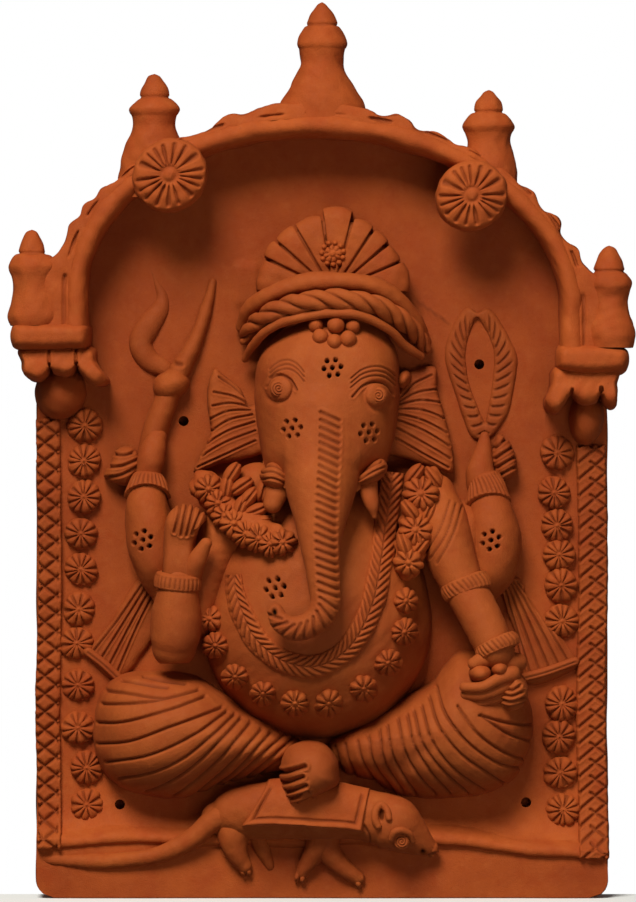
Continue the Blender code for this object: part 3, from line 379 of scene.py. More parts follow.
def clay(name, dark, light, dust_and_highlight):
    """Matt terracotta: two earthy tones mixed by soft clouds, with painted shade deep in the niche (strongest
    higher up) and in scored lines, near-black painted shade in holes, a lighter painted highlight on the
    parts that stand furthest forward, and a fine grain."""
    material = bpy.data.materials.new(name)
    material.use_nodes = True
    tree = material.node_tree
    nodes, links = tree.nodes, tree.links
    shader = nodes["Principled BSDF"]
    place = nodes.new("ShaderNodeTexCoord").outputs["Object"]

    def noise(scale, detail, rough=0.6):
        """Cloudy values of a scale, in the object's own coordinates."""
        made = nodes.new("ShaderNodeTexNoise")
        made.inputs["Scale"].default_value = scale
        made.inputs["Detail"].default_value = detail
        made.inputs["Roughness"].default_value = rough
        links.new(place, made.inputs["Vector"])
        return made.outputs["Fac"]

    def span(value, low, high, to_low=0.0, to_high=1.0):
        """One range of values carried over to another in a straight line."""
        made = nodes.new("ShaderNodeMapRange")
        made.inputs["From Min"].default_value = low
        made.inputs["From Max"].default_value = high
        made.inputs["To Min"].default_value = to_low
        made.inputs["To Max"].default_value = to_high
        links.new(value, made.inputs["Value"])
        return made.outputs["Result"]

    def mix(factor, a, b):
        """One colour or value turned into another by a factor."""
        made = nodes.new("ShaderNodeMix")
        made.data_type = "RGBA"
        for socket, value in ((made.inputs[0], factor), (made.inputs[6], a), (made.inputs[7], b)):
            if isinstance(value, (int, float)):
                socket.default_value = value
            elif isinstance(value, tuple):
                socket.default_value = (*value, 1)
            else:
                links.new(value, socket)
        return made.outputs[2]

    def layer(label):
        """A value stored at each point of the mesh."""
        made = nodes.new("ShaderNodeAttribute")
        made.attribute_name = label
        return made.outputs["Fac"]

    def darker(*share):
        """The dark tone times one share, or one for each channel."""
        return tuple(np.multiply(dark, share))

    clouds = span(noise(28, 5), 0.32, 0.68)
    powder = span(noise(160, 3), 0.55, 0.8, 0, 0.3)
    specks = span(noise(900, 2), 0.6, 0.75, 0, 0.25)
    mottles = span(noise(75, 4), 0.5, 0.7, 0, 0.45)
    colour = mix(clouds, dark, light)
    colour = mix(powder, colour, dust_and_highlight)
    colour = mix(specks, colour, darker(0.55))
    colour = mix(mottles, colour, darker(1.05, 0.85, 0.8))
    split = nodes.new("ShaderNodeSeparateXYZ")
    links.new(place, split.inputs["Vector"])
    # painted shade deep in the niche: the further back and the higher a surface lies, the more it is mixed
    # towards half the dark tone
    niche = nodes.new("ShaderNodeMath")
    niche.operation = "MULTIPLY"
    links.new(span(split.outputs["Y"], -0.036, -0.012, 0, 0.34), niche.inputs[0])
    links.new(span(split.outputs["Z"], -0.10, 0.09, 0, 1), niche.inputs[1])
    # painted highlight: the parts standing furthest forward are mixed a little towards the lighter, yellower
    # tone that the powdery flecks also use
    painted_forward_highlight = span(split.outputs["Y"], -0.030, -0.055, 0, 0.15)
    # painted shade: grooves, scored lines, seams and pits, as stored in the groove attribute, are darkened
    # towards a third of the dark tone
    painted_furrow_shade = span(layer("groove"), 0.15, 1.0, 0, 0.55)
    colour = mix(niche.outputs["Value"], colour, darker(0.5))
    colour = mix(painted_forward_highlight, colour, dust_and_highlight)
    colour = mix(painted_furrow_shade, colour, darker(0.3))
    # painted shade: holes, pierced dots and nostrils are painted near black
    colour = mix(layer("hole"), colour, (0.006, 0.003, 0.002))
    links.new(colour, shader.inputs["Base Color"])
    links.new(span(noise(300, 3), 0.3, 0.7, 0.66, 0.85), shader.inputs["Roughness"])
    # no sheen in the holes, so their painted shade stays dark
    links.new(span(layer("hole"), 0, 0.6, 0.14, 0), shader.inputs["Specular IOR Level"])
    grain = nodes.new("ShaderNodeBump")
    grain.inputs["Strength"].default_value = 0.6
    grain.inputs["Distance"].default_value = 0.0008
    links.new(mix(0.5, noise(420, 6, 0.7), noise(1500, 3, 0.6)), grain.inputs["Height"])
    links.new(grain.outputs["Normal"], shader.inputs["Normal"])
    return material


CLAY = {
    "slab_clay": clay("slab clay", (0.295, 0.047, 0.0080), (0.405, 0.077, 0.0125), (0.47, 0.118, 0.026)),
    "figure_clay": clay("figure clay", (0.275, 0.046, 0.0080), (0.37, 0.0745, 0.0122), (0.435, 0.116, 0.026)),
    "trim_clay": clay("trim clay", (0.29, 0.047, 0.0080), (0.395, 0.077, 0.0125), (0.46, 0.118, 0.026)),
}

# The architecture

# The niche's ellipse: its centre, half width, rise and lean to one side
ARCH_X, ARCH_Z, ARCH_A, ARCH_B, LEAN = 1.0, 298.0, 118.0, 82.0, 0.033
ARCH_STEPS, FOOT_STEPS = 420, 30  # stations round the ellipse and down each foot
BAND = 9.6  # width of the band round the niche
BAND_FOOT = 22.0  # length of the band's feet
HALF = 143.0  # half width of the plaque
CORNER = 9.0  # radius of the plaque's lower corners
# The fixing holes
HOLES = [(-69.5, 238.5), (79.0, 267.0), (-101.5, 46.0), (102.5, 47.0)]
HOLE_RADIUS = 2.5


def arch(angle, offset):
    """Points on the niche's leaning half ellipse, moved outwards by an offset."""
    x = ARCH_X + (ARCH_A + offset) * np.cos(angle)
    return np.stack([x, ARCH_Z + (ARCH_B + offset) * np.sin(angle) - LEAN * (x - ARCH_X)], -1)


def foot_width(z):
    """Half width of the plaque near its foot, where the two corners are round."""
    return HALF - CORNER + np.sqrt(np.maximum(CORNER**2 - np.maximum(CORNER - z, 0) ** 2, 0))


def lip_height(x):
    """Height of the under-edge of the base's lip, which wanders along the plaque."""
    return np.interp(x, [-143, -110, -77, -40, 10, 56, 95, 143], [24, 25.4, 26.8, 26, 25.5, 26, 22.5, 17.5])


def flare(x, z):
    """Share of the sweep forward to the lip: 1 at the lip, fading upwards."""
    return np.exp(-np.maximum(z - lip_height(x) - 5, 0) / 8.0)


def slab_grid(step):
    """The slab's face on a grid: straight sides that turn into the arch's ellipse, round bottom corners."""
    offset, turn = 7.5, 272.0
    top = ARCH_Z + ARCH_B + offset - 0.01
    low = np.linspace(0, turn, int(turn / step) + 1)
    high = turn + (top - turn) * np.sin(np.linspace(0, PI / 2, int(150 / step)))[1:]
    z = np.concatenate([low, high])
    rise = np.clip((z - ARCH_Z) / (ARCH_B + offset), 0, 1)
    reach = (ARCH_A + offset) * np.sqrt(np.maximum(1 - rise**2, 0))
    blend = ramp(z, 262, 300)
    side = foot_width(z) + (reach - HALF) * blend
    u = np.linspace(-1, 1, int(2 * HALF / step) + 1)[:, None]
    x = ARCH_X * blend + side * u
    return grid(x, 0.0, z - LEAN * (x - ARCH_X) * blend)


def relief(x, z):
    """Front of the slab: uneven, swept forward to the lip of the base."""
    p = grid(x, 0.0, z)
    wave = 0.6 * lumps(p, 90, 3) + 0.28 * lumps(p, 24, 4) + 0.06 * lumps(p, 7, 5)
    flap = 1.3 * bell(np.maximum(np.abs(x + 38) - 5, 0), 1.2) * bell(np.maximum(np.abs(z - 307) - 10, 0), 1.2)
    return SLAB + wave + flap + 11.0 * flare(x, z)


def make_slab():
    """Face, back and edge of the slab. The four fixing holes are circles that run straight back."""
    p = slab_grid(2.0)
    x, z = p[..., 0], p[..., 2]
    p[..., 1] = relief(x, z)
    rim = np.concatenate([p[:, 0], p[-1, 1:], p[::-1, -1][1:], p[0, ::-1][1:]])
    near = np.min([np.hypot(x - cx, z - cz) for cx, cz in HOLES], 0)
    p[..., 1] -= 9.0 * (1 - ramp(near, 3.0, 5.2))
    scratch = [(47.5, 299.0), (64, 287.5)]
    height, groove = strokes(p, [scratch], width=0.8, depth=0.9)
    made = [patch(p, False, height, groove)]
    a = turns(56)
    wall, apron = 8, 18
    wide = HOLE_RADIUS + 8.5 * np.concatenate([np.zeros(wall), np.linspace(0, 1, apron) ** 1.4])
    for cx, cz in HOLES:
        hx, hz = cx + wide * np.cos(a), cz + wide * np.sin(a)
        depth = relief(hx, hz) + 0.1 * (1 - ramp(wide, 8.0, 10.8)) - 0.03
        depth[:, :wall] = np.linspace(0.3, 12.5, wall)
        # painted shade: the walls of the fixing holes are marked as holes and painted near black
        made.append(patch(grid(hx, depth, hz), True, hole=np.repeat([1.0, 0.0], [wall, apron])))
    add("back_slab", made, "slab_clay")

    q = slab_grid(5.0)
    q[..., 1] = 0.25 + 0.2 * lumps(q, 70, 9)
    t = np.linspace(0, 1, 9)
    outward = unit(rim * [1, 0, 1] - [0, 0, 170.0])
    edge = rim[:, None] + outward[:, None] * (0.7 * np.sin(PI * t) ** 0.5)[None, :, None]
    edge[..., 1] = rim[:, 1:2] * (1 - t) + 0.3 * t
    made = [patch(q), patch(edge, False, 0.3 * lumps(edge, 20, 10))]
    wide = np.array([0.05, 1.2, 2.3, 2.5, 2.9])
    depth = np.array([2.0, 2.0, 1.5, 0.3, -0.05])
    for cx, cz in HOLES:
        mouth = grid(cx + wide * np.cos(a), depth, cz + wide * np.sin(a))
        # painted shade: the mouths of the holes at the back are painted near black
        made.append(patch(mouth, True, hole=np.array([1, 1, 1, 0.6, 0])))
    add("back_slab_wall_side", made, "slab_clay", "back_slab")


def make_base():
    """The foot: one profile of (depth, height, share of the lip's wandering) carried across the plaque. Below
    the lip its face leans back towards the floor."""
    profile = smooth([(13.0, 12.5, 1), (17.0, 10.8, 1), (21.5, 8.6, 1), (25.4, 6.4, 1), (27.4, 4.2, 1),
                      (27.7, 2.2, 1), (26.6, 0.5, 1), (23.4, -0.5, 1), (20.6, -1.5, 1), (19.8, -3.3, 1),
                      (19.8, -5.6, 1), (18.8, 12.0, 0.1), (17.0, 6.0, 0), (15.4, 2.0, 0), (14.0, 0.4, 0),
                      (9.0, 0.1, 0), (0.3, 0.1, 0)], 80)
    x = np.linspace(-HALF, HALF, 270)[:, None]
    z = profile[:, 1] + profile[:, 2] * (lip_height(x) + 0.5 * np.sin(x / 9.0) + 0.5 * np.sin(x / 23.0))
    edge = np.exp(-(HALF + 0.2 - np.abs(x)) / 1.3)
    depth = profile[:, 0] * (1 - 0.25 * edge)
    wide = x * (1 - (1 - foot_width(z) / HALF) * ramp(np.abs(x), HALF - 30, HALF))
    p = grid(wide, depth, z)
    p = p + facing(p, False) * hand(p, 5, 0.4, 0.12)[..., None]
    ends = p[[0, -1]] * [1, 0, 1] + [0, 0.3, 0]
    add("base_moulding", patch(np.concatenate([ends[:1], p, ends[1:]])), "slab_clay")


def arch_angles():
    """Angle at each station, as a column: round the ellipse, and no change down its two feet."""
    return np.pad(np.linspace(0, PI, ARCH_STEPS), FOOT_STEPS, "edge")[:, None]


def sweep_arch(offset, depth):
    """Points of a section carried round the niche's ellipse and straight down its two feet; offset and depth
    have a row for each station, or one row for all."""
    foot = BAND_FOOT * np.arange(1, FOOT_STEPS + 1) / FOOT_STEPS
    down = np.concatenate([foot[::-1], np.zeros(ARCH_STEPS), foot])[:, None]
    xz = arch(arch_angles(), offset)
    return grid(xz[..., 0], depth, xz[..., 1] - down)


def make_arch():
    """The band is one section of (offset, depth) swept round the arch. The crest lies against it, its outer
    edge rising and falling as listed (angle in degrees, offset), with a broken scored line between the two."""
    section = smooth([(0.2, SUNK), (0.0, 28.0), (0.4, 37.0), (1.8, 41.6), (4.4, 43.6), (7.4, 43.2),
                      (BAND, 41.4), (BAND + 0.8, 38.5), (BAND + 1.0, 32.0), (BAND + 1.0, SUNK)], 44)
    p = sweep_arch(section[:, 0], section[:, 1])
    add("arch_band", backed(patch(p, False, hand(p, 11, 0.6, 0.2)), SUNK), "slab_clay")

    edge = np.array([(0, 25), (7, 24), (11, 18), (14, 14.8), (18.2, 16.2), (21.6, 11.8), (24, 11.2),
                     (26.6, 14.8), (29.1, 15.0), (32, 11.0), (34.5, 11.8), (37.5, 14.2), (41, 11.2),
                     (46, 13.5), (50, 11.2), (55, 13.5), (59.8, 11.4), (62, 12.8), (65, 14), (69, 11.4),
                     (71, 15), (74.2, 17), (77.5, 13.8), (80, 16.5), (88, 17), (96, 17), (100.8, 17.8),
                     (104.5, 16.4), (107.7, 13.8), (110.1, 16.6), (112.7, 15.6), (116, 11.8), (120.3, 11.4),
                     (122.5, 12.8), (128, 14.4), (133, 11.8), (138, 13.6), (143, 12), (147, 15),
                     (150, 13.4), (153, 17), (156.5, 14.8), (160, 17.6), (165, 16), (169, 18), (173, 25),
                     (180, 26)])
    turn = arch_angles()
    reach = np.interp(np.degrees(turn[:, 0]), edge[:, 0], edge[:, 1])
    reach = np.convolve(np.pad(reach, 2, "edge"), np.full(5, 1 / 5), "valid")[:, None]
    t = np.linspace(0, 1, 40)
    flat, fall = np.minimum(t / 0.6, 1), ramp(t, 0.62, 1.0)
    offset = BAND - 0.6 + (reach - BAND - 0.4) * flat + 1.0 * np.sin(PI / 2 * np.clip((t - 0.6) / 0.2, 0, 1))
    line = ramp(np.sin(turn * 29) + 0.6 * np.sin(turn * 47 + 1), -0.3, 0.4)
    dash = np.maximum(line, ramp(turn, 3.04, 3.1)) * bell(offset - BAND - 1.9, 0.65)
    depth = 41.6 - 1.2 * flat**2 - 30.0 * fall - 1.7 * dash
    p = sweep_arch(offset, depth)
    crest = patch(p, False, hand(p, 13, 0.5, 0.3), 0.8 * dash)
    add("arch_crest", backed(crest, SUNK), "slab_clay")


def make_finials():
    """Turned shapes about an upright axis: a pointed knob, a flange, a waist and a spreading foot, less thick
    than wide where they spread. Each has the x and depth of its axis, how far its knob leans aside, and a
    list of (height, radius) from the tip down."""
    shapes = {
        "finial_top": (0.0, 27.0, 0.0, [
            (448, 0.05), (447.2, 1.8), (446, 3), (441.5, 6), (437.6, 7.6), (436.3, 7.4), (435.5, 8.4),
            (431, 11), (427.5, 12.4), (425.5, 12.1), (424, 11.4), (417, 10.9), (411.5, 13), (406.5, 15.6),
            (402, 18), (398, 20.4), (394, 21.6), (386, 22)]),
        "finial_upper_left": (-83.8, 28.5, 0.0, [
            (412, 0.05), (411.3, 1.8), (410, 3.4), (405.5, 6.2), (401.4, 7.5), (400.2, 7.3), (399.4, 8.6),
            (396.5, 11.4), (394.3, 12.8), (392.3, 12.3), (390.5, 11.2), (386, 10.6), (381, 12), (375, 14.8),
            (368, 16.6), (362, 18), (356, 18.6), (350, 18.6)]),
        "finial_upper_right": (83.4, 28.5, 0.0, [
            (404, 0.05), (403.3, 1.8), (402, 3.4), (398, 6.2), (394, 7.5), (392.9, 7.3), (392, 8.8),
            (389, 11.6), (386, 13.2), (384, 12.6), (382, 11.4), (378, 10.6), (372, 11.8), (366, 13.6),
            (359, 14.4), (350, 14.6)]),
        "finial_lower_left": (-143.2, 32.5, -1.6, [
            (334, 0.05), (333.3, 1.8), (332, 3.2), (327.5, 5.4), (323.2, 6.6), (322.2, 6.5), (321.4, 8.4),
            (319, 11), (316, 12.6), (313.4, 12.2), (310, 11), (304, 10.5), (298, 11.8), (292, 13.4),
            (289, 13.2), (286, 12)]),
        "finial_lower_right": (144.0, 34.5, -0.8, [
            (326, 0.05), (325.2, 2.0), (323.5, 3.6), (318.5, 6.6), (314.4, 7.9), (313.2, 7.6), (311.6, 9),
            (308.6, 10.6), (306, 10.9), (303.5, 10), (299, 8.9), (293, 9.6), (287, 11.4), (282, 12.3),
            (278.6, 11.8), (275, 11)]),
    }
    for seed, (name, (x, depth, lean, turned)) in enumerate(shapes.items()):
        profile = smooth(turned, 100)
        z, r = profile[:, 0], np.maximum(profile[:, 1], 0.02)
        a = turns(72)
        neck = turned[5][0]
        axis = x + lean * ramp(z, neck - 6, neck + 2)
        thick = r / (1 + (r / 16.0) ** 4) ** 0.25
        p = grid(axis + r * np.cos(a), depth + thick * np.sin(a), z)
        groove = bell(z - neck, 0.7)
        height = hand(p, 20 + seed, 0.4, 0.25) * ramp(r, 0.0, 4.0) - 0.3 * groove
        add(name, patch(p, True, height, 0.5 * groove), "slab_clay")


def make_corbels():
    """Brackets at the feet of the band: a squared roll, a cup of three short petals under it, and a bud. A
    roll has an outline and a ridge; a cup these, the height of its ridge and the seams between its petals."""
    rolls = {
        "left": ([(-155.5, 277.5), (-155.6, 284), (-152.5, 287.6), (-138, 288.2), (-121, 288),
                  (-116.4, 286.4), (-115.6, 281), (-116.6, 275.4), (-121, 273.6), (-138, 273),
                  (-152, 273.8)], (-148, -123)),
        "right": ([(116.6, 268), (117.4, 274.8), (121.6, 277.4), (136, 278), (150, 275.4), (153.6, 272),
                   (153.4, 265.8), (149.6, 261.8), (136, 261), (121.6, 262.6), (117.4, 264.4)], (123, 146)),
    }
    cups = {
        "left": ([(-149.4, 276), (-150.2, 267), (-149, 261), (-142, 258), (-137.4, 260.6), (-135.8, 265.6),
                  (-133.4, 262), (-127, 260.8), (-123.8, 263), (-122.4, 266.6), (-119.6, 261),
                  (-113.5, 256), (-107.6, 256.4), (-106.4, 259.6), (-112, 266.5), (-117, 276)],
                 (-146, -118), 269, [[(-135.8, 266.5), (-136.4, 276)], [(-122.4, 267.5), (-122.8, 276)]]),
        "right": ([(118, 266), (113.6, 255), (111, 247.6), (113, 242.8), (117.6, 241.8), (121, 246),
                   (124.4, 251.4), (127.4, 247.4), (132, 245.6), (136.6, 247.6), (139.2, 252.4),
                   (141, 247.4), (144.4, 244.6), (147.2, 246.6), (147.2, 256), (146.6, 266)],
                  (119, 144), 258, [[(124.4, 252.4), (124.6, 254)], [(139.2, 253.4), (139.1, 255)]]),
    }
    buds = {"left": (-131.5, 252.5, 12.8, 14.0), "right": (132.8, 239.5, 8.8, 13.0)}
    for side in ("left", "right"):
        outline, ridge = rolls[side]
        p = mound(outline, back=SUNK, rise=34.0, around=200, count=46, e=0.58, ridge=ridge)
        add(f"corbel_{side}", backed(worked(p, 60, 0.35, 0.1)), "slab_clay")
        outline, ridge, middle, seams = cups[side]
        p = mound(outline, back=14.0, rise=25.0, around=270, count=48, e=0.5, centre=(0, middle), ridge=ridge)
        top, tip = p[..., 2].max(), p[..., 2].min()
        p[..., 1] += 6.0 * ((top - p[..., 2]) / (top - tip)) ** 1.3 * ramp(p[..., 1], 14, 34)
        cup = worked(p, 66, 0.6, 0.3, seams, width=0.7, depth=1.5, dark=0.5)
        add(f"lotus_cup_{side}", backed(cup), "trim_clay")
        x, z, wide, tall = buds[side]
        p = mound(oval(x, z, wide, tall), back=12.5, rise=17.0, around=100, count=40, e=0.95)
        add(f"lotus_bud_{side}", backed(worked(p, 73, 0.5, 0.2)), "trim_clay")


def make_rosettes():
    """Two large pressed discs on the band and two columns of small ones on the slab."""
    for side, x, z, radius, turn in (("left", -75.7, 360.7, 18.5, 0.1), ("right", 74.4, 350.6, 17.8, 0.25)):
        flower = rosette(x, 38.0, z, radius=radius, rise=13.0, cuts=17, turn=turn, hub=0.2, dome=0.42,
                         count=42, cut=2.1, notch=0, rim=0.88)
        add(f"arch_rosette_{side}", flower, "trim_clay")
    rows = {
        "left": [(-119, 236), (-119.5, 218.5), (-119.5, 200.5), (-121, 182), (-121, 164), (-122, 144),
                 (-123, 127), (-122.5, 106), (-122.5, 84.5), (-118, 64.5), (-118, 46)],
        "right": [(118, 222.5), (116.5, 202.5), (118, 186), (119, 171.5), (120, 156), (120.5, 138),
                  (120.5, 96.5), (119, 80), (119.5, 62), (121, 43.5)],
    }
    rng = np.random.default_rng(21)
    for side, places in rows.items():
        made = []
        for x, z in places:
            made.append(rosette(x, SLAB - 0.8, z, radius=rng.uniform(8.2, 9.0), rise=rng.uniform(5.6, 6.6),
                                cuts=int(rng.integers(10, 13)), turn=rng.uniform(0, TAU), hub=0.14, dome=0.6,
                                tilt=rng.uniform(-0.12, 0.12, 2), cut=1.6, notch=0.05, rim=0.95, boss=0.2))
        add(f"button_row_{side}", made, "trim_clay")


def make_strips():
    """Borders: the left one is cut both ways into small pyramids, the right one scored with slanting strokes
    and shorter ones across them. Both swing forward to the lip at their feet."""
    for side, x0, x1, low, top in (("left", -143.4, -130.8, 23.6, 240.0),
                                   ("right", 127.8, 143.4, 18.2, 227.0)):
        u = np.linspace(0, 1, 40)[:, None]
        z = np.linspace(low, top, 460)[None]
        x = x0 + (x1 - x0) * u + 0.5 * np.sin(z / 21.0)
        inset = np.minimum(u, 1 - u) * (x1 - x0)
        depth = 12.2 + 5.4 * np.minimum(inset / 1.3, 1) ** 0.5
        depth = depth + 11.3 * flare(x, z)
        depth = depth - 4.0 * ramp(z, top - 1.4, top) - 12.0 * (1 - ramp(z, low, low + 1.8))
        p = grid(x, depth, z)
        if side == "left":
            pitch, slope, crossing, first = 9.0, 0.8, 4.2, 2.4
            slant = slope * (x - x0 - crossing)
            square = 0.78 * pitch
            near = [square * np.abs(((z - first + way) / pitch + 0.5) % 1 - 0.5) for way in (slant, -slant)]
            near = np.minimum(*near) + 3.0 * ramp(x - x0, 11.0, 12.2)
            height = 0.9 * np.minimum(near / 2.0, 1) - 1.3 * bell(near, 0.65)
            groove = bell(near, 0.75)
        else:
            pitch = 8.3
            lines = []
            for k in range(-2, int((top - low) / pitch) + 2):
                z0 = low + k * pitch
                lines.append([(x0 + 1, z0), (x1 - 1, z0 + 11.5)])
                lines.append([(x0 + 7.0, z0 + 8.8), (x1 - 2.0, z0 + 3.8)])
            height, groove = strokes(p, lines, width=0.7, depth=1.3)
        within = ramp(inset, 0.2, 1.2)
        strip = patch(p, False, height * within + hand(p, 80, 0.3, 0.12), groove * within)
        add(f"hatched_strip_{side}", strip, "trim_clay")


# The figure

BELLY_X, BELLY_Z = -2.5, 136.5  # middle of the belly
BELLY_WIDE, BELLY_UP, BELLY_DOWN = 57.5, 72.0, 57.5  # reach sideways, upwards and downwards
BELLY_BACK, BELLY_RISE = 13.0, 47.0  # depth where the belly begins, and how far it stands forward


def belly_depth(x, z):
    """Depth of the belly's skin at a place in the front plane: an egg, taller above than below."""
    tall = np.where(z > BELLY_Z, BELLY_UP, BELLY_DOWN)
    q = ((x - BELLY_X) / BELLY_WIDE) ** 2 + ((z - BELLY_Z) / tall) ** 2
    return BELLY_BACK + BELLY_RISE * np.maximum(1 - q, 0.0) ** 0.5


def make_belly():
    """The belly, the plaited garland laid over it and the flowers pressed on round it, each tilted as the
    skin slopes between two places near it."""
    a = turns(340)
    r, _ = rings(120, 1.0)
    x = BELLY_X + BELLY_WIDE * r * np.cos(a)
    z = BELLY_Z + np.where(np.sin(a) > 0, BELLY_UP, BELLY_DOWN) * r * np.sin(a)
    p = grid(x, belly_depth(x, z), z)
    height, hole = stamps(p, [(-23.5, 155.7)], turn=0.2)
    add("belly", patch(p, True, height + hand(p, 90, 0.55, 0.08), hole=hole), "figure_clay")

    steps, taper, half, pitch = 400, 38, 5.6, 4.1
    mid = smooth([(35, 213), (33.8, 201), (32.4, 190.6), (31, 180), (29.5, 169), (25, 147.3), (16.5, 130),
                  (8, 121.5), (-2.4, 117), (-13, 117.5), (-24, 122), (-34, 131.5), (-40.5, 145),
                  (-43.5, 155), (-44, 162)], steps)
    along = unit(np.gradient(mid, axis=0))
    out = np.stack([along[:, 1], -along[:, 0]], -1)
    t = np.linspace(-1, 1, 40)
    wide = half * np.interp(np.arange(steps), [0, steps - 1 - taper, steps - 1], [1, 1, 0.7])[:, None]
    xz = mid[:, None] + out[:, None] * (t * wide)[..., None]
    depth = np.maximum(belly_depth(xz[..., 0], xz[..., 1]), 32.0) + 3.6 * np.maximum(1 - t**4, 0) ** 0.5 - 0.6
    p = grid(xz[..., 0], depth, xz[..., 1])
    s = run_length(mid)[:, None]
    cut = beats((s + 1.2 * half * np.abs(t) + 0.5 * np.sin(s / 7.0)) / pitch, 0.2)
    cut = np.maximum(cut * ramp(1 - np.abs(t), 0.04, 0.16), 0.7 * bell(t, 0.09))
    plait = patch(p, False, 0.3 - 1.3 * cut + hand(p, 93, 0.3, 0.15), cut)
    add("belly_band", plait, "trim_clay")

    rng = np.random.default_rng(5)
    near = 2.0
    made = []
    for x, z in [(-56.4, 140), (-53.3, 126.5), (-43.5, 111), (-29.5, 102.8), (-13.5, 98), (3.4, 98),
                 (20.8, 105.4), (33, 118.4), (41.2, 133.6), (42, 149)]:
        slope = ((belly_depth(x + near, z) - belly_depth(x - near, z)) / (2 * near),
                 (belly_depth(x, z + near) - belly_depth(x, z - near)) / (2 * near))
        made.append(rosette(x, belly_depth(x * 0.97, z) - 0.8, z, radius=rng.uniform(6.6, 7.4), rise=7.4,
                            cuts=int(rng.integers(8, 11)), turn=rng.uniform(0, TAU), hub=0.2, dome=0.9,
                            tilt=np.clip(slope, -0.7, 0.7), count=22, cut=1.8, notch=0.1, rim=0.98, boss=0.6))
    add("belly_flowers", made, "trim_clay")


# The trunk's path: (x, depth, height, radius) from the brow to the tip
TRUNK = [(1, 35, 252, 19), (0.8, 41, 236, 19.5), (0.3, 49, 218, 19.3), (-0.5, 56, 205, 17.6),
         (-0.6, 62, 192, 13.8), (-0.8, 66.5, 180, 10.6), (0, 69.5, 168, 8.6), (1, 71, 156, 7.6),
         (1.2, 71.8, 148, 7.2), (-2.5, 72, 140.5, 6.8), (-8.5, 72, 136.8, 6.4), (-15.5, 71.5, 136.4, 5.9),
         (-20.8, 71, 139.8, 5.3), (-23, 70.5, 144.3, 4.4)]
# The outline of the head
HEAD_RIM = [(5, 293), (25, 288), (36.5, 275), (39, 257), (38, 239), (34.5, 222), (29, 211), (17, 203),
            (10, 194), (0.5, 188), (-10, 194), (-16, 203), (-26, 211), (-30.5, 222), (-33, 239),
            (-33.5, 256), (-30.5, 272), (-16, 287)]
EYES = {"left": (-21.5, 254.5), "right": (28.0, 251.0)}


def trunk_lines():
    """Short slanting strokes at even steps down the trunk, on the outer side of its curl."""
    path = smooth(TRUNK, 600)
    along = unit(np.gradient(path[:, [0, 2]], axis=0))
    step = run_length(path[:, :3])
    first, pitch, last = 12.0, 4.1, step[-1] - 1.5
    lines = []
    for at in np.arange(first, last, pitch):
        i = int(np.searchsorted(step, at))
        c, t, r = path[i, [0, 2]], along[i], path[i, 3]
        n = np.array([-t[1], t[0]])
        half = min(4.7, 0.62 * r)
        middle = c + n * np.interp(r, [5, 9, 18, 26], [1.0, 2.2, 3.2, 2.6])
        lines.append([middle - n * half - t * 2.0, middle + n * half + t * 2.0])
    return lines


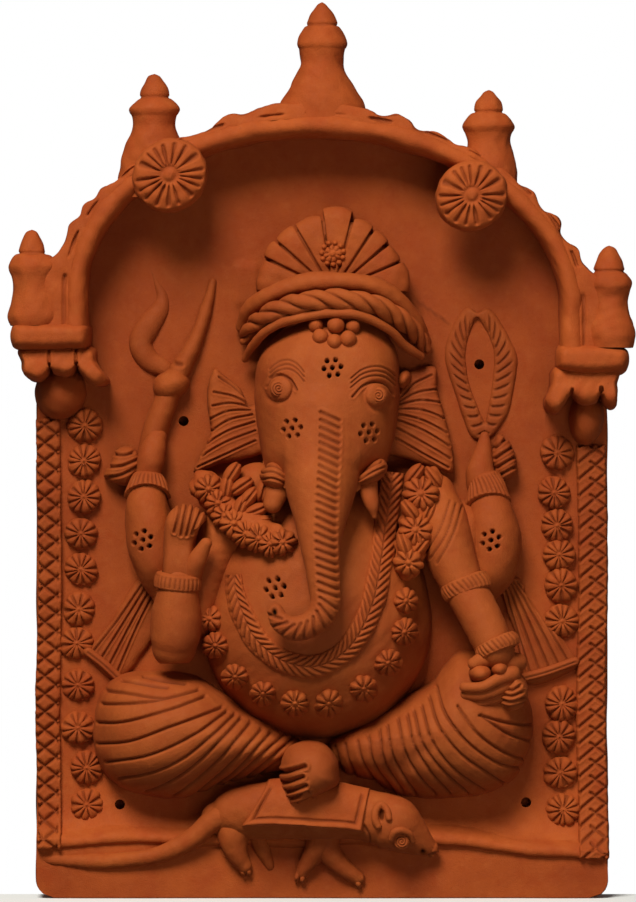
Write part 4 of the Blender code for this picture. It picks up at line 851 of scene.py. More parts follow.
def make_head():
    """The head is a lump over its outline, drawn out where the trunk leaves it: a soft maximum of both. The
    trunk leans forward, so the level of its axis behind each point is found in a few rounds."""
    p = mound(HEAD_RIM, back=SUNK, rise=46.0, around=380, count=126, e=0.68, centre=(2.5, 245))
    x, z = p[..., 0], p[..., 2]
    path = smooth(TRUNK[:8], 400)[::-1]
    lean = np.arctan2(-np.gradient(path[:, 1]), np.gradient(path[:, 2]))
    flow = ramp(z, 208, 226)
    level = z
    for _ in range(8):
        middle, deep, wide = (np.interp(level, path[:, 2], path[:, k]) for k in (0, 1, 3))
        tilt = np.interp(level, path[:, 2], lean)
        aside = np.abs(x - middle) / wide
        arc = np.sqrt(np.maximum(1 - aside**2, 0))
        eased = np.where(aside > 0.7, 0.714 - 0.98 * (aside - 0.7), arc)
        swell = wide * (arc + (eased - arc) * flow)
        level = z - swell * np.sin(tilt)
    past = np.maximum(aside - 0.9, 0) * wide
    steep = 2.0 * np.maximum(past - 0.1 * wide, 0)
    nose = deep + swell * np.cos(tilt) - 0.12 * past**2 * flow - steep * (1 - flow)
    nose = nose - 0.7 + 1.4 * ramp(z, 190, 220)
    brow = p[..., 1]
    soft = 16.0
    h = np.clip(0.5 + 0.5 * (nose - brow) / soft, 0, 1)
    blend = brow + (nose - brow) * h + soft * h * (1 - h) * ramp(z, 206, 222)
    p[..., 1] = brow + (np.maximum(blend, brow) - brow) * (1 - ramp(z, 246, 260))
    for ex, ez in EYES.values():
        away = np.hypot(x - ex, (z - ez) * 1.08)
        p[..., 1] += 2.6 * np.sqrt(np.maximum(1 - (away / 6.6) ** 2, 0)) - 0.8 * bell(away - 7.5, 1.5)
    brows = [[(a, b - 2.3 * step) for a, b in line] for step in range(3) for line in (
        [(-26, 264.4), (-22, 267.8), (-17, 268.8), (-12.5, 266.6), (-9, 262.6)],
        [(14.6, 259.6), (20, 263.8), (26.3, 265.4), (32, 264.4), (36.6, 261)])]
    lids = [[(-27.4, 255.4), (-25, 259.6), (-20.6, 261.2), (-15.8, 258.8), (-12.8, 253.8)],
            [(15.4, 250.4), (20.6, 255.8), (26.6, 257.8), (32.4, 256.2), (35.6, 251.6)]]
    arcs, arc_groove = strokes(p, brows, width=0.42, depth=0.8, lip=0.15)
    edges, edge_groove = strokes(p, lids, width=0.55, depth=1.3, lip=0.2)
    upper = [line for line in trunk_lines() if line[0][1] > 188]
    ticks, tick_groove = strokes(p, upper, width=0.75, depth=1.2)
    dots, hole = stamps(p, [(5.2, 264.9), (-15, 234.7), (23.6, 232.6)], turn=0.15, ring=4.3)
    groove = np.max([arc_groove, edge_groove, tick_groove], 0)
    made = [patch(p, True, arcs + edges + ticks + dots + hand(p, 100, 0.4, 0.08), groove, hole)]
    lips = [([(-31, 211.5), (-28.4, 216), (-23.5, 218), (-18, 214.6), (-14.6, 208), (-20.5, 203.8),
              (-27.5, 205.4)],
             [[(-29.6, 215.6), (-23.7, 216.2), (-17.4, 212.6)],
              [(-30.4, 212.6), (-24.4, 213.2), (-16.4, 209.4)],
              [(-30, 209.4), (-24.4, 209.8), (-16, 206.6)]]),
            ([(15.4, 206.0), (18.4, 212.5), (24, 217.4), (29.5, 219.8), (32.6, 216.5), (31, 211.4),
              (25, 207)],
             [[(17.6, 211.6), (24, 216), (29.8, 218.6)], [(18, 209), (25, 213), (31.2, 215.6)],
              [(18.2, 206.8), (25, 209.8), (31.4, 212.8)]])]
    for outline, folds in lips:
        q = mound(outline, back=38.0, rise=20.0, around=104, count=38, e=0.75)
        made.append(worked(q, 104, 0.2, 0.1, folds, width=0.55, depth=1.0, lip=0.15))
    add("head", made, "figure_clay")

    for side, (ex, ez) in EYES.items():
        add(f"eye_{side}", eyeball(ex, skin(p, ex, ez) - 1.9, ez, radius=4.4, rise=3.8), "figure_clay")

    p = tube(TRUNK, along=340, around=90)
    front = ramp(facing(p, True)[..., 1], 0.0, 0.2)
    cut, groove = strokes(p, trunk_lines(), width=0.75, depth=1.2)
    # painted shade: the nostril is marked as a hole and painted near black
    nostril = bell(np.hypot(p[..., 0] + 23.6, (p[..., 2] - 144.4) / 1.2), 1.4) * front
    height = cut * front - 2.0 * nostril + hand(p, 100, 0.4, 0.08)
    add("trunk", patch(p, True, height, groove * front, np.minimum(1.4 * nostril, 1)), "figure_clay")

    stub = coils([[(-21.5, 47, 207, 5.8), (-22.8, 49, 202, 5.7), (-24.4, 50, 197.6, 5.0)]], along=36,
                 around=46)
    add("tusk_left", stub, "figure_clay")
    point = coils([[(22.5, 46, 210, 4.8), (23.2, 49, 203, 4.6), (24.8, 50, 196.5, 3.3),
                    (26, 49.5, 191.3, 1.2)]], along=40, around=40)
    add("tusk_right", point, "figure_clay")


def make_ears():
    """Thin fans hollowed along their upper edge, with strokes that spread from the root at the head. Each has
    an outline, its strokes and the x of its root."""
    ears = {
        "left": ([(-27, 246), (-35, 247), (-42, 255), (-50, 262), (-54, 264.3), (-57, 257), (-57.8, 248),
                  (-55.8, 234), (-59.3, 225), (-64.8, 213), (-58, 214), (-52.3, 216.6), (-42, 219),
                  (-32, 221.5), (-25, 225)],
                 [[(-36.6, 248.4), (-43.5, 255), (-51.5, 260.6)],
                  [(-36.8, 247.2), (-45, 251), (-54.4, 253)], [(-36.6, 245.8), (-46, 247.4), (-55, 246)],
                  [(-36, 244), (-47, 243.4), (-56.4, 239.4)], [(-35, 241.6), (-46, 239.2), (-55.6, 233.6)],
                  [(-34, 238), (-47, 233.6), (-58.6, 226.8)], [(-33.4, 233.6), (-48, 228), (-60.4, 221)],
                  [(-33.4, 228.6), (-48, 222), (-62.6, 215.2)]], -24),
        "right": ([(31, 250), (37.9, 253.5), (42.6, 262), (49, 265), (56.8, 265), (57.6, 254.5),
                   (61.2, 242), (64.3, 229.5), (66, 213), (58, 214.6), (50.3, 216.6), (43, 219),
                   (36.3, 221), (29, 225)],
                  [[(39, 250), (46, 257), (55, 261.6)], [(39, 248.4), (48, 252.8), (57.6, 254.4)],
                   [(39, 246.6), (49, 248.8), (59.6, 247.8)], [(38.8, 244.6), (50, 244), (61.4, 240)],
                   [(38.4, 242), (50, 239), (62.8, 232.6)], [(38, 239), (51, 233.6), (63.8, 226)],
                   [(37.6, 235), (50, 228), (64.4, 219.6)], [(37, 230), (50, 222.4), (63.4, 215)]], 28),
    }
    for side, (rim, lines, root) in ears.items():
        p = mound(rim, back=SUNK, rise=8.6, around=240, count=66, e=0.4)
        away = np.abs(p[..., 0] - root)
        p[..., 1] += 9.0 * np.exp(-away / 11.0) + 2.2 * ramp(away, 20, 36)
        cut, groove = strokes(p, lines, width=0.5, depth=1.1, lip=0.3)
        pit = bell(np.hypot(p[..., 0] - (root + math.copysign(12.0, root)), p[..., 2] - 247.6), 2.0)
        made = [patch(p, True, cut - 2.0 * pit + hand(p, 108, 0.35, 0.12), np.maximum(groove, pit))]
        if side == "right":
            lobe = mound(oval(41.0, 259.4, 3.4, 5.0, -0.5), back=18.0, rise=12.0, around=54, count=24, e=0.9)
            made.append(worked(lobe, 109, 0.2, 0.1))
        add(f"ear_{side}", made, "figure_clay")


def make_crown():
    """A fan of flat wedge petals, a plain roll, a twisted coil, a thin coil, a flower and beads."""
    tips = np.array([(-30.5, 315.5), (-27, 325), (-19.7, 332.5), (-7.8, 339.3), (8.6, 345), (22.3, 338),
                     (29.8, 332), (36.6, 323), (42.2, 313.5)])
    root = np.array([5.5, 303.0])
    turn = np.arctan2(tips[:, 1] - root[1], tips[:, 0] - root[0])
    reach = np.hypot(*(tips - root).T)
    joint = (turn[1:] + turn[:-1]) / 2
    joint = np.concatenate([[turn[0] + 0.34], joint, [turn[-1] - 0.3]])
    a = np.linspace(joint[0] - 0.002, joint[-1] + 0.002, 540)
    which = np.clip(np.searchsorted(-joint, -a) - 1, 0, 8)
    local = np.abs((a - (joint[which] + joint[which + 1]) / 2) / ((joint[which + 1] - joint[which]) / 2))
    edge = reach[which] * (1 - 0.015 * local**2 - 0.045 * ramp(local, 0.84, 1.0))
    t = np.linspace(0.0, 1, 70)
    flat = np.minimum(t / 0.86, 1)
    r = edge[:, None] * flat
    arm = (1 - local[:, None]) * (edge * np.abs(joint[which + 1] - joint[which]) / 2)[:, None] * flat
    seam = bell(arm, 0.6) * ramp(t, 0.12, 0.3)
    depth = np.where(t < 0.86, 25.5 + 6.0 * (1 - flat**8) ** 0.5, 25.5 - (t - 0.86) / 0.14 * 13.5)
    p = grid(root[0] + r * np.cos(a)[:, None], depth, root[1] + r * np.sin(a)[:, None])
    crown = 0.6 * (1 - local[:, None] ** 4) * ramp(t, 0.2, 0.6)
    fade = 1 - ramp(t, 0.92, 1)
    ends = p[[0, -1]] * [1, 0, 1] + [0, SUNK, 0]
    height = (crown - 1.5 * seam) * fade + hand(p, 110, 0.35, 0.2)
    face = patch(p, False, height, 0.8 * seam * fade)
    cheeks = [patch(np.stack(pair)) for pair in zip(ends, face["p"][[0, -1]])]
    add("crown_fan", [face] + cheeks, "figure_clay")

    band = tube([(-39.5, 18, 286.5, 3.9), (-35.5, 26, 294.5, 4.3), (-25, 36, 301.6, 4.7),
                 (-10, 40.5, 306.4, 4.9), (6.8, 42, 308, 5.0), (22, 40.5, 306.5, 4.9), (36, 34, 299.7, 4.6),
                 (46, 26, 289, 4.2), (51.5, 19, 278, 3.6)], along=190, around=44, flat=1.25)
    add("crown_band", worked(band, 111, 0.4, 0.14), "figure_clay")

    rope = tube([(-38, 22, 280, 3.6), (-34.5, 30, 285.6, 4.2), (-27.4, 39.5, 291, 4.6),
                 (-19.7, 45, 294.6, 4.8), (-7, 49, 297.6, 4.9), (6.8, 50, 298.6, 4.9),
                 (19, 48.5, 297.6, 4.9), (28.6, 45, 295.2, 4.8), (41, 36, 288, 4.5), (48, 27, 280.6, 4.0),
                 (51, 22, 275, 3.4)], along=400, around=76)
    s = np.linspace(0, 1, rope.shape[1])
    wave = np.abs(np.sin(1.5 * turns(rope.shape[0]) - s * PI * 11.0 - 0.2 * np.sin(s * 41)))
    seam = bell(wave, 0.26)
    height = 1.3 * wave - 0.9 * seam - 0.7 + hand(rope, 114, 0.25, 0.15)
    add("crown_rope", patch(rope, True, height, 0.9 * seam), "figure_clay")

    strap = tube([(-38.5, 23, 269.6, 1.9), (-35.5, 29, 275, 2.2), (-29, 39, 282.2, 2.3),
                  (-19.7, 45.5, 287.4, 2.4), (-5, 50, 290.8, 2.4), (6.8, 51, 291.9, 2.4),
                  (20, 49.5, 290.4, 2.4), (33, 42, 284, 2.3), (42, 33, 275.6, 2.2), (49.5, 26, 271, 1.9)],
                 along=190, around=30)
    add("headband", worked(strap, 112, 0.2, 0.12), "figure_clay")

    cx, cz, ring, pips, turn = 5.3, 322.0, 5.5, 11, 0.2
    flower = [rosette(cx, 30.4, cz, radius=4.6, rise=3.0, cuts=8, turn=turn, hub=0.4, dome=0.6, cut=0.8,
                      notch=0.1, rim=1.0)]
    for angle in turns(pips)[:, 0] + turn:
        pip = oval(cx + ring * math.cos(angle), cz + ring * math.sin(angle), 1.6, 1.6)
        flower.append(patch(mound(pip, back=30.5, rise=2.9, around=20, count=10, e=1.0), True))
    add("crown_flower", flower, "trim_clay")
    beads = []
    for x, z, d, r in [(-3, 286, 48, 3.6), (6.8, 286, 50, 4.3), (15.3, 285.5, 48.5, 3.6),
                       (-0.8, 280.2, 50.5, 4.2), (6, 277.8, 52, 3.9), (13, 279.2, 51.5, 4.1)]:
        bead = mound(oval(x, z, r, r), back=d - 1.0, rise=r * 1.1, around=36, count=16, e=1.0)
        beads.append(worked(bead, 113, 0.15, 0.15))
    add("forehead_beads", beads, "trim_clay")


def make_rear_arms():
    """The two arms behind: a stamped upper arm, a frilled cuff and a hand with scored fingers."""
    for side, path, dots, seed in (
        ("left", [(-79, 22, 152, 6.5), (-83, 24, 166, 11.2), (-85.5, 25, 180, 12.4), (-87, 24, 193, 11.6),
                  (-87.4, 22, 202, 9.6)], (-89.5, 179), 120),
        ("right", [(80, 22, 156, 10), (85, 24, 166, 12.8), (86, 25, 179, 13.4), (85, 24, 190, 12),
                   (83.6, 22, 200, 9.6)], (84, 179), 121),
    ):
        p = tube(path, along=130, around=144, flat=1.15)
        height, hole = stamps(p, [dots], turn=0.35)
        front = (p[..., 1] > 24).astype(float)
        arm = patch(p, True, height * front + hand(p, seed, 0.45, 0.08), hole=hole * front)
        add(f"rear_arm_{side}", arm, "figure_clay")

    leaves = {
        "left": ([(-109, 210.4), (-106, 217.5), (-103.6, 223.6), (-99, 226), (-94, 224.4), (-90.2, 217),
                  (-94, 211), (-98.4, 206)],
                 [[(-104.4, 222), (-99, 221.6), (-94.6, 222.8)], [(-107, 215.6), (-100, 216), (-92.6, 219)],
                  [(-107.5, 210.2), (-100, 211.6), (-92.6, 215.4)]]),
        "right": ([(88, 231.3), (92.4, 229.4), (95.6, 225), (97.6, 219), (97.6, 212), (92.6, 208.2),
                   (88.6, 209.6), (86, 215), (84.8, 222)],
                  [[(86.2, 225), (92.4, 229.6)], [(86.4, 219.6), (95.6, 225.4)], [(87.4, 215), (97, 220.6)],
                   [(88.6, 211), (97.4, 215.6)]]),
    }
    fists = {"left": [(-88, 22, 205, 7.0), (-87.4, 22.5, 212, 6.4), (-85.8, 22.6, 219, 6.8),
                      (-84, 21.6, 226, 6.2), (-83, 20.6, 230, 5.0)],
             "right": [(82, 22, 203, 8.6), (79.6, 22.5, 212, 7.4), (80, 22, 219, 5.8), (81, 20.5, 226, 4.0),
                       (81.6, 19, 231, 2.4)]}
    cuffs = {"left": ([(-86.6, 22.5, 213, 6.8), (-87, 23, 208, 9.4), (-87.3, 23.5, 199, 12.4)], 0.0, 7.0),
             "right": ([(80.4, 22.5, 212.5, 7.6), (82.2, 23, 206, 9.4), (83.6, 23.5, 195, 12.2)], 1.2, 6.0)}
    for side in ("left", "right"):
        fist = worked(tube(fists[side], along=46, around=50), 130, 0.45, 0.14)
        outline, lines = leaves[side]
        p = mound(outline, back=15.0, rise=11.0, around=140, count=46, e=0.7)
        fingers = worked(p, 131, 0.2, 0.1, lines, width=0.7, depth=1.6, lip=0.15)
        path, slant, sag = cuffs[side]
        cuff = collar(path, ticks=26, slant=slant, sag=sag, cut=0.9, stop=0.96)
        add(f"rear_hand_{side}", [fist, fingers, cuff], "figure_clay")


def make_front_arms():
    """The arms in front: the left hand is raised open, the right one holds sweets."""
    p = tube([(-33, 24, 206, 12), (-48, 25, 184, 13), (-58, 25, 163, 12.5), (-64, 25, 140, 11)], along=80,
             around=60, flat=1.1)
    add("upper_arm_left", worked(p, 122, 0.45, 0.14), "figure_clay")
    p = tube([(-73.6, 35, 126, 11.2), (-73, 37, 133, 12.6), (-72.6, 38, 143, 12.4), (-71.8, 40, 152, 10.4),
              (-71.2, 40.5, 158, 9)], along=90, around=84, flat=1.05)
    square = np.abs((p[..., 0] + 73.6) / 11.8) ** 6
    p[..., 2] = np.maximum(p[..., 2], 117.4 + 2.5 * square)
    add("forearm_left", worked(p, 123, 0.3, 0.05), "figure_clay")
    palm = mound([(-79, 159), (-79.2, 172), (-78.6, 185), (-77, 191.4), (-73.6, 195), (-69, 196.8),
                  (-64, 196), (-59.4, 193), (-58, 189.5), (-62, 184), (-63.4, 175), (-63, 165),
                  (-64.5, 157), (-72, 155)], back=34.0, rise=14.5, around=230, count=64, e=0.5,
                 centre=(-70.5, 178))
    palm[..., 1] += 2.4 * ramp(palm[..., 2], 175, 189) * ramp(palm[..., 1], 35, 44)
    between = [[(-70.6, 196.5), (-71.4, 191), (-73.4, 183)], [(-67, 197), (-68.2, 191), (-70, 181.5)],
               [(-63.6, 196.5), (-65, 190), (-67.2, 181.5)], [(-60, 194), (-62, 189), (-64.4, 182.5)]]
    made = [worked(palm, 124, 0.4, 0.08, between, width=0.65, depth=1.5, lip=0.25)]
    made += coils([[(-65.5, 42, 161, 5.2), (-62.2, 46, 169, 4.9), (-57.6, 48.5, 177.5, 3.0)]])
    wrist = [(-71.2, 41, 163, 10.8), (-71.6, 40.5, 159, 11.8), (-72.0, 40, 154.6, 11.6)]
    made.append(collar(wrist, ticks=28, cut=0.6))
    add("palm_left", made, "figure_clay")

    p = tube([(57, 26, 202, 10), (61, 31, 187, 12.6), (64.5, 35, 171, 12.6), (70.5, 39, 156, 10.6),
              (76, 42, 146, 10.4), (82, 45, 134, 10.2), (86.2, 47, 124.5, 9.6)], along=150, around=86,
             flat=1.08)
    sleeve = mound([(52, 186), (60, 196), (70, 199), (79, 196), (83, 186), (83, 174), (83, 162), (78, 156),
                    (66, 155), (54, 168)], back=13.0, rise=25.0, around=130, count=44, e=0.8)
    folds = [[(67, 197.5), (62, 183), (53.6, 170)], [(64, 199), (58.6, 185), (51.6, 173.4)],
             [(70, 196), (65.2, 182), (57, 167.6)]]
    elbow = [(70, 38.6, 160, 12.0), (71.6, 39.2, 156, 12.7), (73.2, 40, 151.6, 12.0)]
    wrist = [(85.6, 47.4, 130, 10.6), (87, 48, 126.8, 11.6), (88.4, 48.4, 123.4, 10.8)]
    made = [worked(p, 126, 0.3, 0.05, folds, width=0.5, depth=0.9, lip=0.25), worked(sleeve, 127, 0.4, 0.08),
            collar(elbow, ticks=28, slant=0.9), collar(wrist, ticks=26, slant=0.9)]
    add("front_arm_right", made, "figure_clay")

    made = coils([[(94, 49, 113, 4.6), (86, 54, 109.6, 3.0), (79, 55, 106.6, 2.7), (70.5, 53, 106.4, 2.4)],
                  [(93, 47, 109, 4.6), (86, 51.5, 104.6, 3.0), (79, 52, 102.4, 2.8), (71, 50, 102.4, 2.4)],
                  [(92, 45, 104, 4.6), (86, 48.5, 100.6, 3.0), (79, 49, 99, 2.7), (73, 47, 98.8, 2.2)],
                  [(97, 44, 118, 5.0), (93.5, 46.5, 118.6, 5.2), (89, 47.5, 120, 4.2)],
                  [(85, 48, 120.4, 4.2), (80, 50.5, 120.2, 4.0), (75.4, 50.5, 118, 3.0)]])
    bunch = mound([(96.9, 114), (100.8, 110), (102.6, 105), (101.9, 99), (98, 95), (93, 93.6), (88.6, 96),
                   (86.6, 100), (89.6, 106), (93, 110.6)], back=32.0, rise=22.0, around=160, count=50, e=0.75)
    folds = [[(90.4, 106), (94.2, 105), (98.3, 107)], [(89, 103), (94, 101.9), (99.6, 104)],
             [(87.8, 100.2), (94, 98.9), (101, 101)], [(88, 97.6), (93.6, 96.2), (101, 98.4)]]
    made.append(worked(bunch, 129, 0.25, 0.12, folds, width=0.65, depth=1.3, lip=0.3))
    add("front_hand_right", made, "figure_clay")
    sweets = []
    for x, z, wide, tall, rise in ((78.6, 113.2, 5.8, 4.8, 12.0), (88, 115.4, 4.4, 4.2, 11.0)):
        p = mound(oval(x, z, wide, tall), back=46.0, rise=rise, around=60, count=26, e=0.9)
        sweets.append(worked(p, 128, 0.35, 0.15))
    add("sweet", sweets, "trim_clay")


def make_attributes():
    """The goad and noose in low relief on the slab, the hanging ends of the sash, and the garlands of flowers
    and folded leaves on the shoulders."""
    shaft = tube([(-87, 14.5, 220, 6.6), (-83, 15, 236, 6.6), (-79, 15.4, 247, 6.2),
                  (-74.5, 15.6, 258, 5.6), (-70.4, 15.4, 265.4, 5.2), (-62.8, 14.8, 280.4, 3.9),
                  (-57.6, 14.4, 297, 2.7), (-54.8, 14, 308.6, 1.7)], along=120, around=44, flat=1.4)
    knob = tube([(-77.6, 16, 256.0, 7.2), (-73.8, 16, 258.0, 7.4)], along=10, around=52, flat=1.5)
    notch = [(-73.8, 267.4), (-70.4, 266.6)]
    hook = tube([(-79, 13.4, 264.6, 4.6), (-87, 13.2, 269.3, 5.4), (-91, 13.1, 277.6, 6.0),
                 (-87, 13.0, 286.4, 6.0), (-81.6, 13.0, 294, 5.0), (-80.2, 13.0, 301, 3.4),
                 (-83.4, 13.0, 308.5, 1.6), (-86, 13.0, 314.5, 0.7)], along=130, around=44, flat=0.85)
    goad = [worked(shaft, 140, 0.3, 0.12, [notch], width=0.9, depth=1.4), worked(knob, 141, 0.35, 0.14),
            worked(hook, 142, 0.25, 0.1)]
    add("goad", goad, "figure_clay")

    steps = 420
    inner = smooth([(77.9, 290.4), (82, 284), (85, 277), (86, 270.8), (85.8, 262), (84.8, 252),
                    (83.4, 243.5), (82, 238), (79.4, 243), (76, 252), (73.4, 262), (72.4, 270.8),
                    (73.2, 278), (75.2, 285)], steps, closed=True)
    outer = smooth([(78.2, 293.0), (84, 294.9), (92, 285), (98, 272), (98.2, 264), (97, 256), (93, 241),
                    (84, 229), (75.6, 230), (70.6, 241), (64.9, 257), (61.5, 272.5), (64.2, 284.4),
                    (72.2, 295.4)], steps, closed=True)
    t = np.linspace(0, 1, 34)
    xz = inner[:, None] + (outer - inner)[:, None] * t[:, None]
    swell = np.maximum(1 - np.abs(2 * t - 1) ** 3, 0) ** 0.5
    p = grid(xz[..., 0], SLAB - 1.2 + 3.9 * swell, xz[..., 1])
    s = run_length((inner + outer) / 2)[:, None]
    slant, pitch = 10.0, 5.0
    way = np.repeat([slant, -slant], steps // 2)[:, None]
    cut = beats((s + way * t) / pitch, 0.15) * ramp(t, 0.04, 0.2) * (1 - ramp(t, 0.62, 0.85))
    cut = cut * ramp(np.minimum(s, s[-1] - s), 3.5, 8.0)
    add("noose", patch(p, True, -1.1 * cut + hand(p, 143, 0.3, 0.12), cut), "figure_clay")

    sashes = {
        "left": ([(-93, 158), (-82, 156), (-80, 140), (-88, 124), (-103, 108), (-117, 121), (-107, 136)],
                 [[(-90.5 + 2.8 * k, 156), (-101.5 + 3.2 * k, 140 - k), (-115 + 4.0 * k, 122.5 - 3.6 * k)]
                  for k in range(4)],
                 [(-117.5, 17.5, 122.8, 2.4), (-110, 18, 117, 2.4), (-102.5, 17.5, 110, 2.4)]),
        "right": ([(88, 159), (98.5, 160), (106, 146), (127.5, 120), (124, 112), (103, 106.5), (98, 130)],
                  [[(90.5 + 1.9 * k, 158), (97 + 3.2 * k, 136 + 1.4 * k), (104.5 + 4.6 * k, 111.5 + 1.8 * k)]
                   for k in range(6)],
                  [(102, 17.5, 110, 2.4), (113, 18, 113, 2.4), (127, 17.5, 118, 2.2)]),
    }
    for side, (rim, lines, hem) in sashes.items():
        p = mound(rim, back=11.5, rise=7.2, around=210, count=56, e=0.45)
        cloth = worked(p, 144, 0.35, 0.12, lines, width=0.5, depth=1.1, lip=0.4)
        ridge = tube(hem, along=44, around=26, flat=0.9)
        score, dark = strokes(ridge, [[(x, z - 0.4) for x, _, z, _ in hem]], width=0.45, depth=0.8)
        add(f"sash_{side}", [cloth, patch(ridge, True, score, dark)], "figure_clay")

    rng = np.random.default_rng(8)
    groups = {
        "left": ([(-56.4, 40, 204.4, 7.8), (-51.6, 42, 197.6, 7.4), (-48.4, 44.4, 191.4, 7.0),
                  (-43.6, 46.6, 187.6, 8.0), (-37.6, 49, 182.4, 7.6), (-31.4, 52, 180, 7.6),
                  (-25.4, 54, 177.6, 7.2), (-19.4, 56, 178.4, 7.2)],
                 [(-45, 41, 212, 1.0), (-40, 43, 206, 0.6), (-36.5, 45, 200, 0.9), (-33, 46, 193.6, 0.4),
                  (-47.5, 42, 205, 1.4), (-40.5, 45, 195.4, 1.2), (-31, 47, 188, 0.2), (-29, 45, 204, 1.3)],
                 [(-58, 30, 206, 8), (-47, 34, 194, 9), (-34, 42, 184, 9), (-22, 48, 179, 7)]),
        "right": ([(49.2, 42, 202.4, 9.4), (46.6, 45, 184.4, 9.0), (42.8, 48, 168, 7.8)],
                  [(55, 37, 210, 2.2), (46, 40, 211.6, 0.9), (41, 49, 176.4, 1.9), (53, 42, 193, 1.2),
                   (44, 45, 193.6, 2.2), (48.6, 46, 175.6, 0.9)],
                  [(54, 30, 209, 7), (49, 33, 196, 8.4), (45.5, 37, 180, 8), (42.5, 41, 166, 6.6)]),
    }
    for side, (places, folded, bed) in groups.items():
        made = [rosette(x, d - 5.0, z, radius=r, rise=8.0, cuts=int(rng.integers(8, 12)),
                        turn=rng.uniform(0, TAU), hub=0.2, dome=0.75, tilt=rng.uniform(-0.25, 0.25, 2),
                        count=22, cut=2.0, notch=0.18, rim=1.02)
                for x, d, z, r in places]
        for x, d, z, lean in folded:
            leaf = mound(oval(x, z, 6.6, 3.8, lean), back=d - 5.0, rise=6.6, around=66, count=28, e=0.8)
            dx, dz = 6 * math.cos(lean), 6 * math.sin(lean)
            cut, groove = strokes(leaf, [[(x - dx, z - dz), (x + dx, z + dz)]], width=0.6, depth=1.2)
            made.append(patch(leaf, True, cut, groove))
        p = tube(bed, along=64, around=48)
        made.append(patch(p, True, 0.9 * lumps(p, 7, 145)))
        add(f"shoulder_garland_{side}", made, "trim_clay")


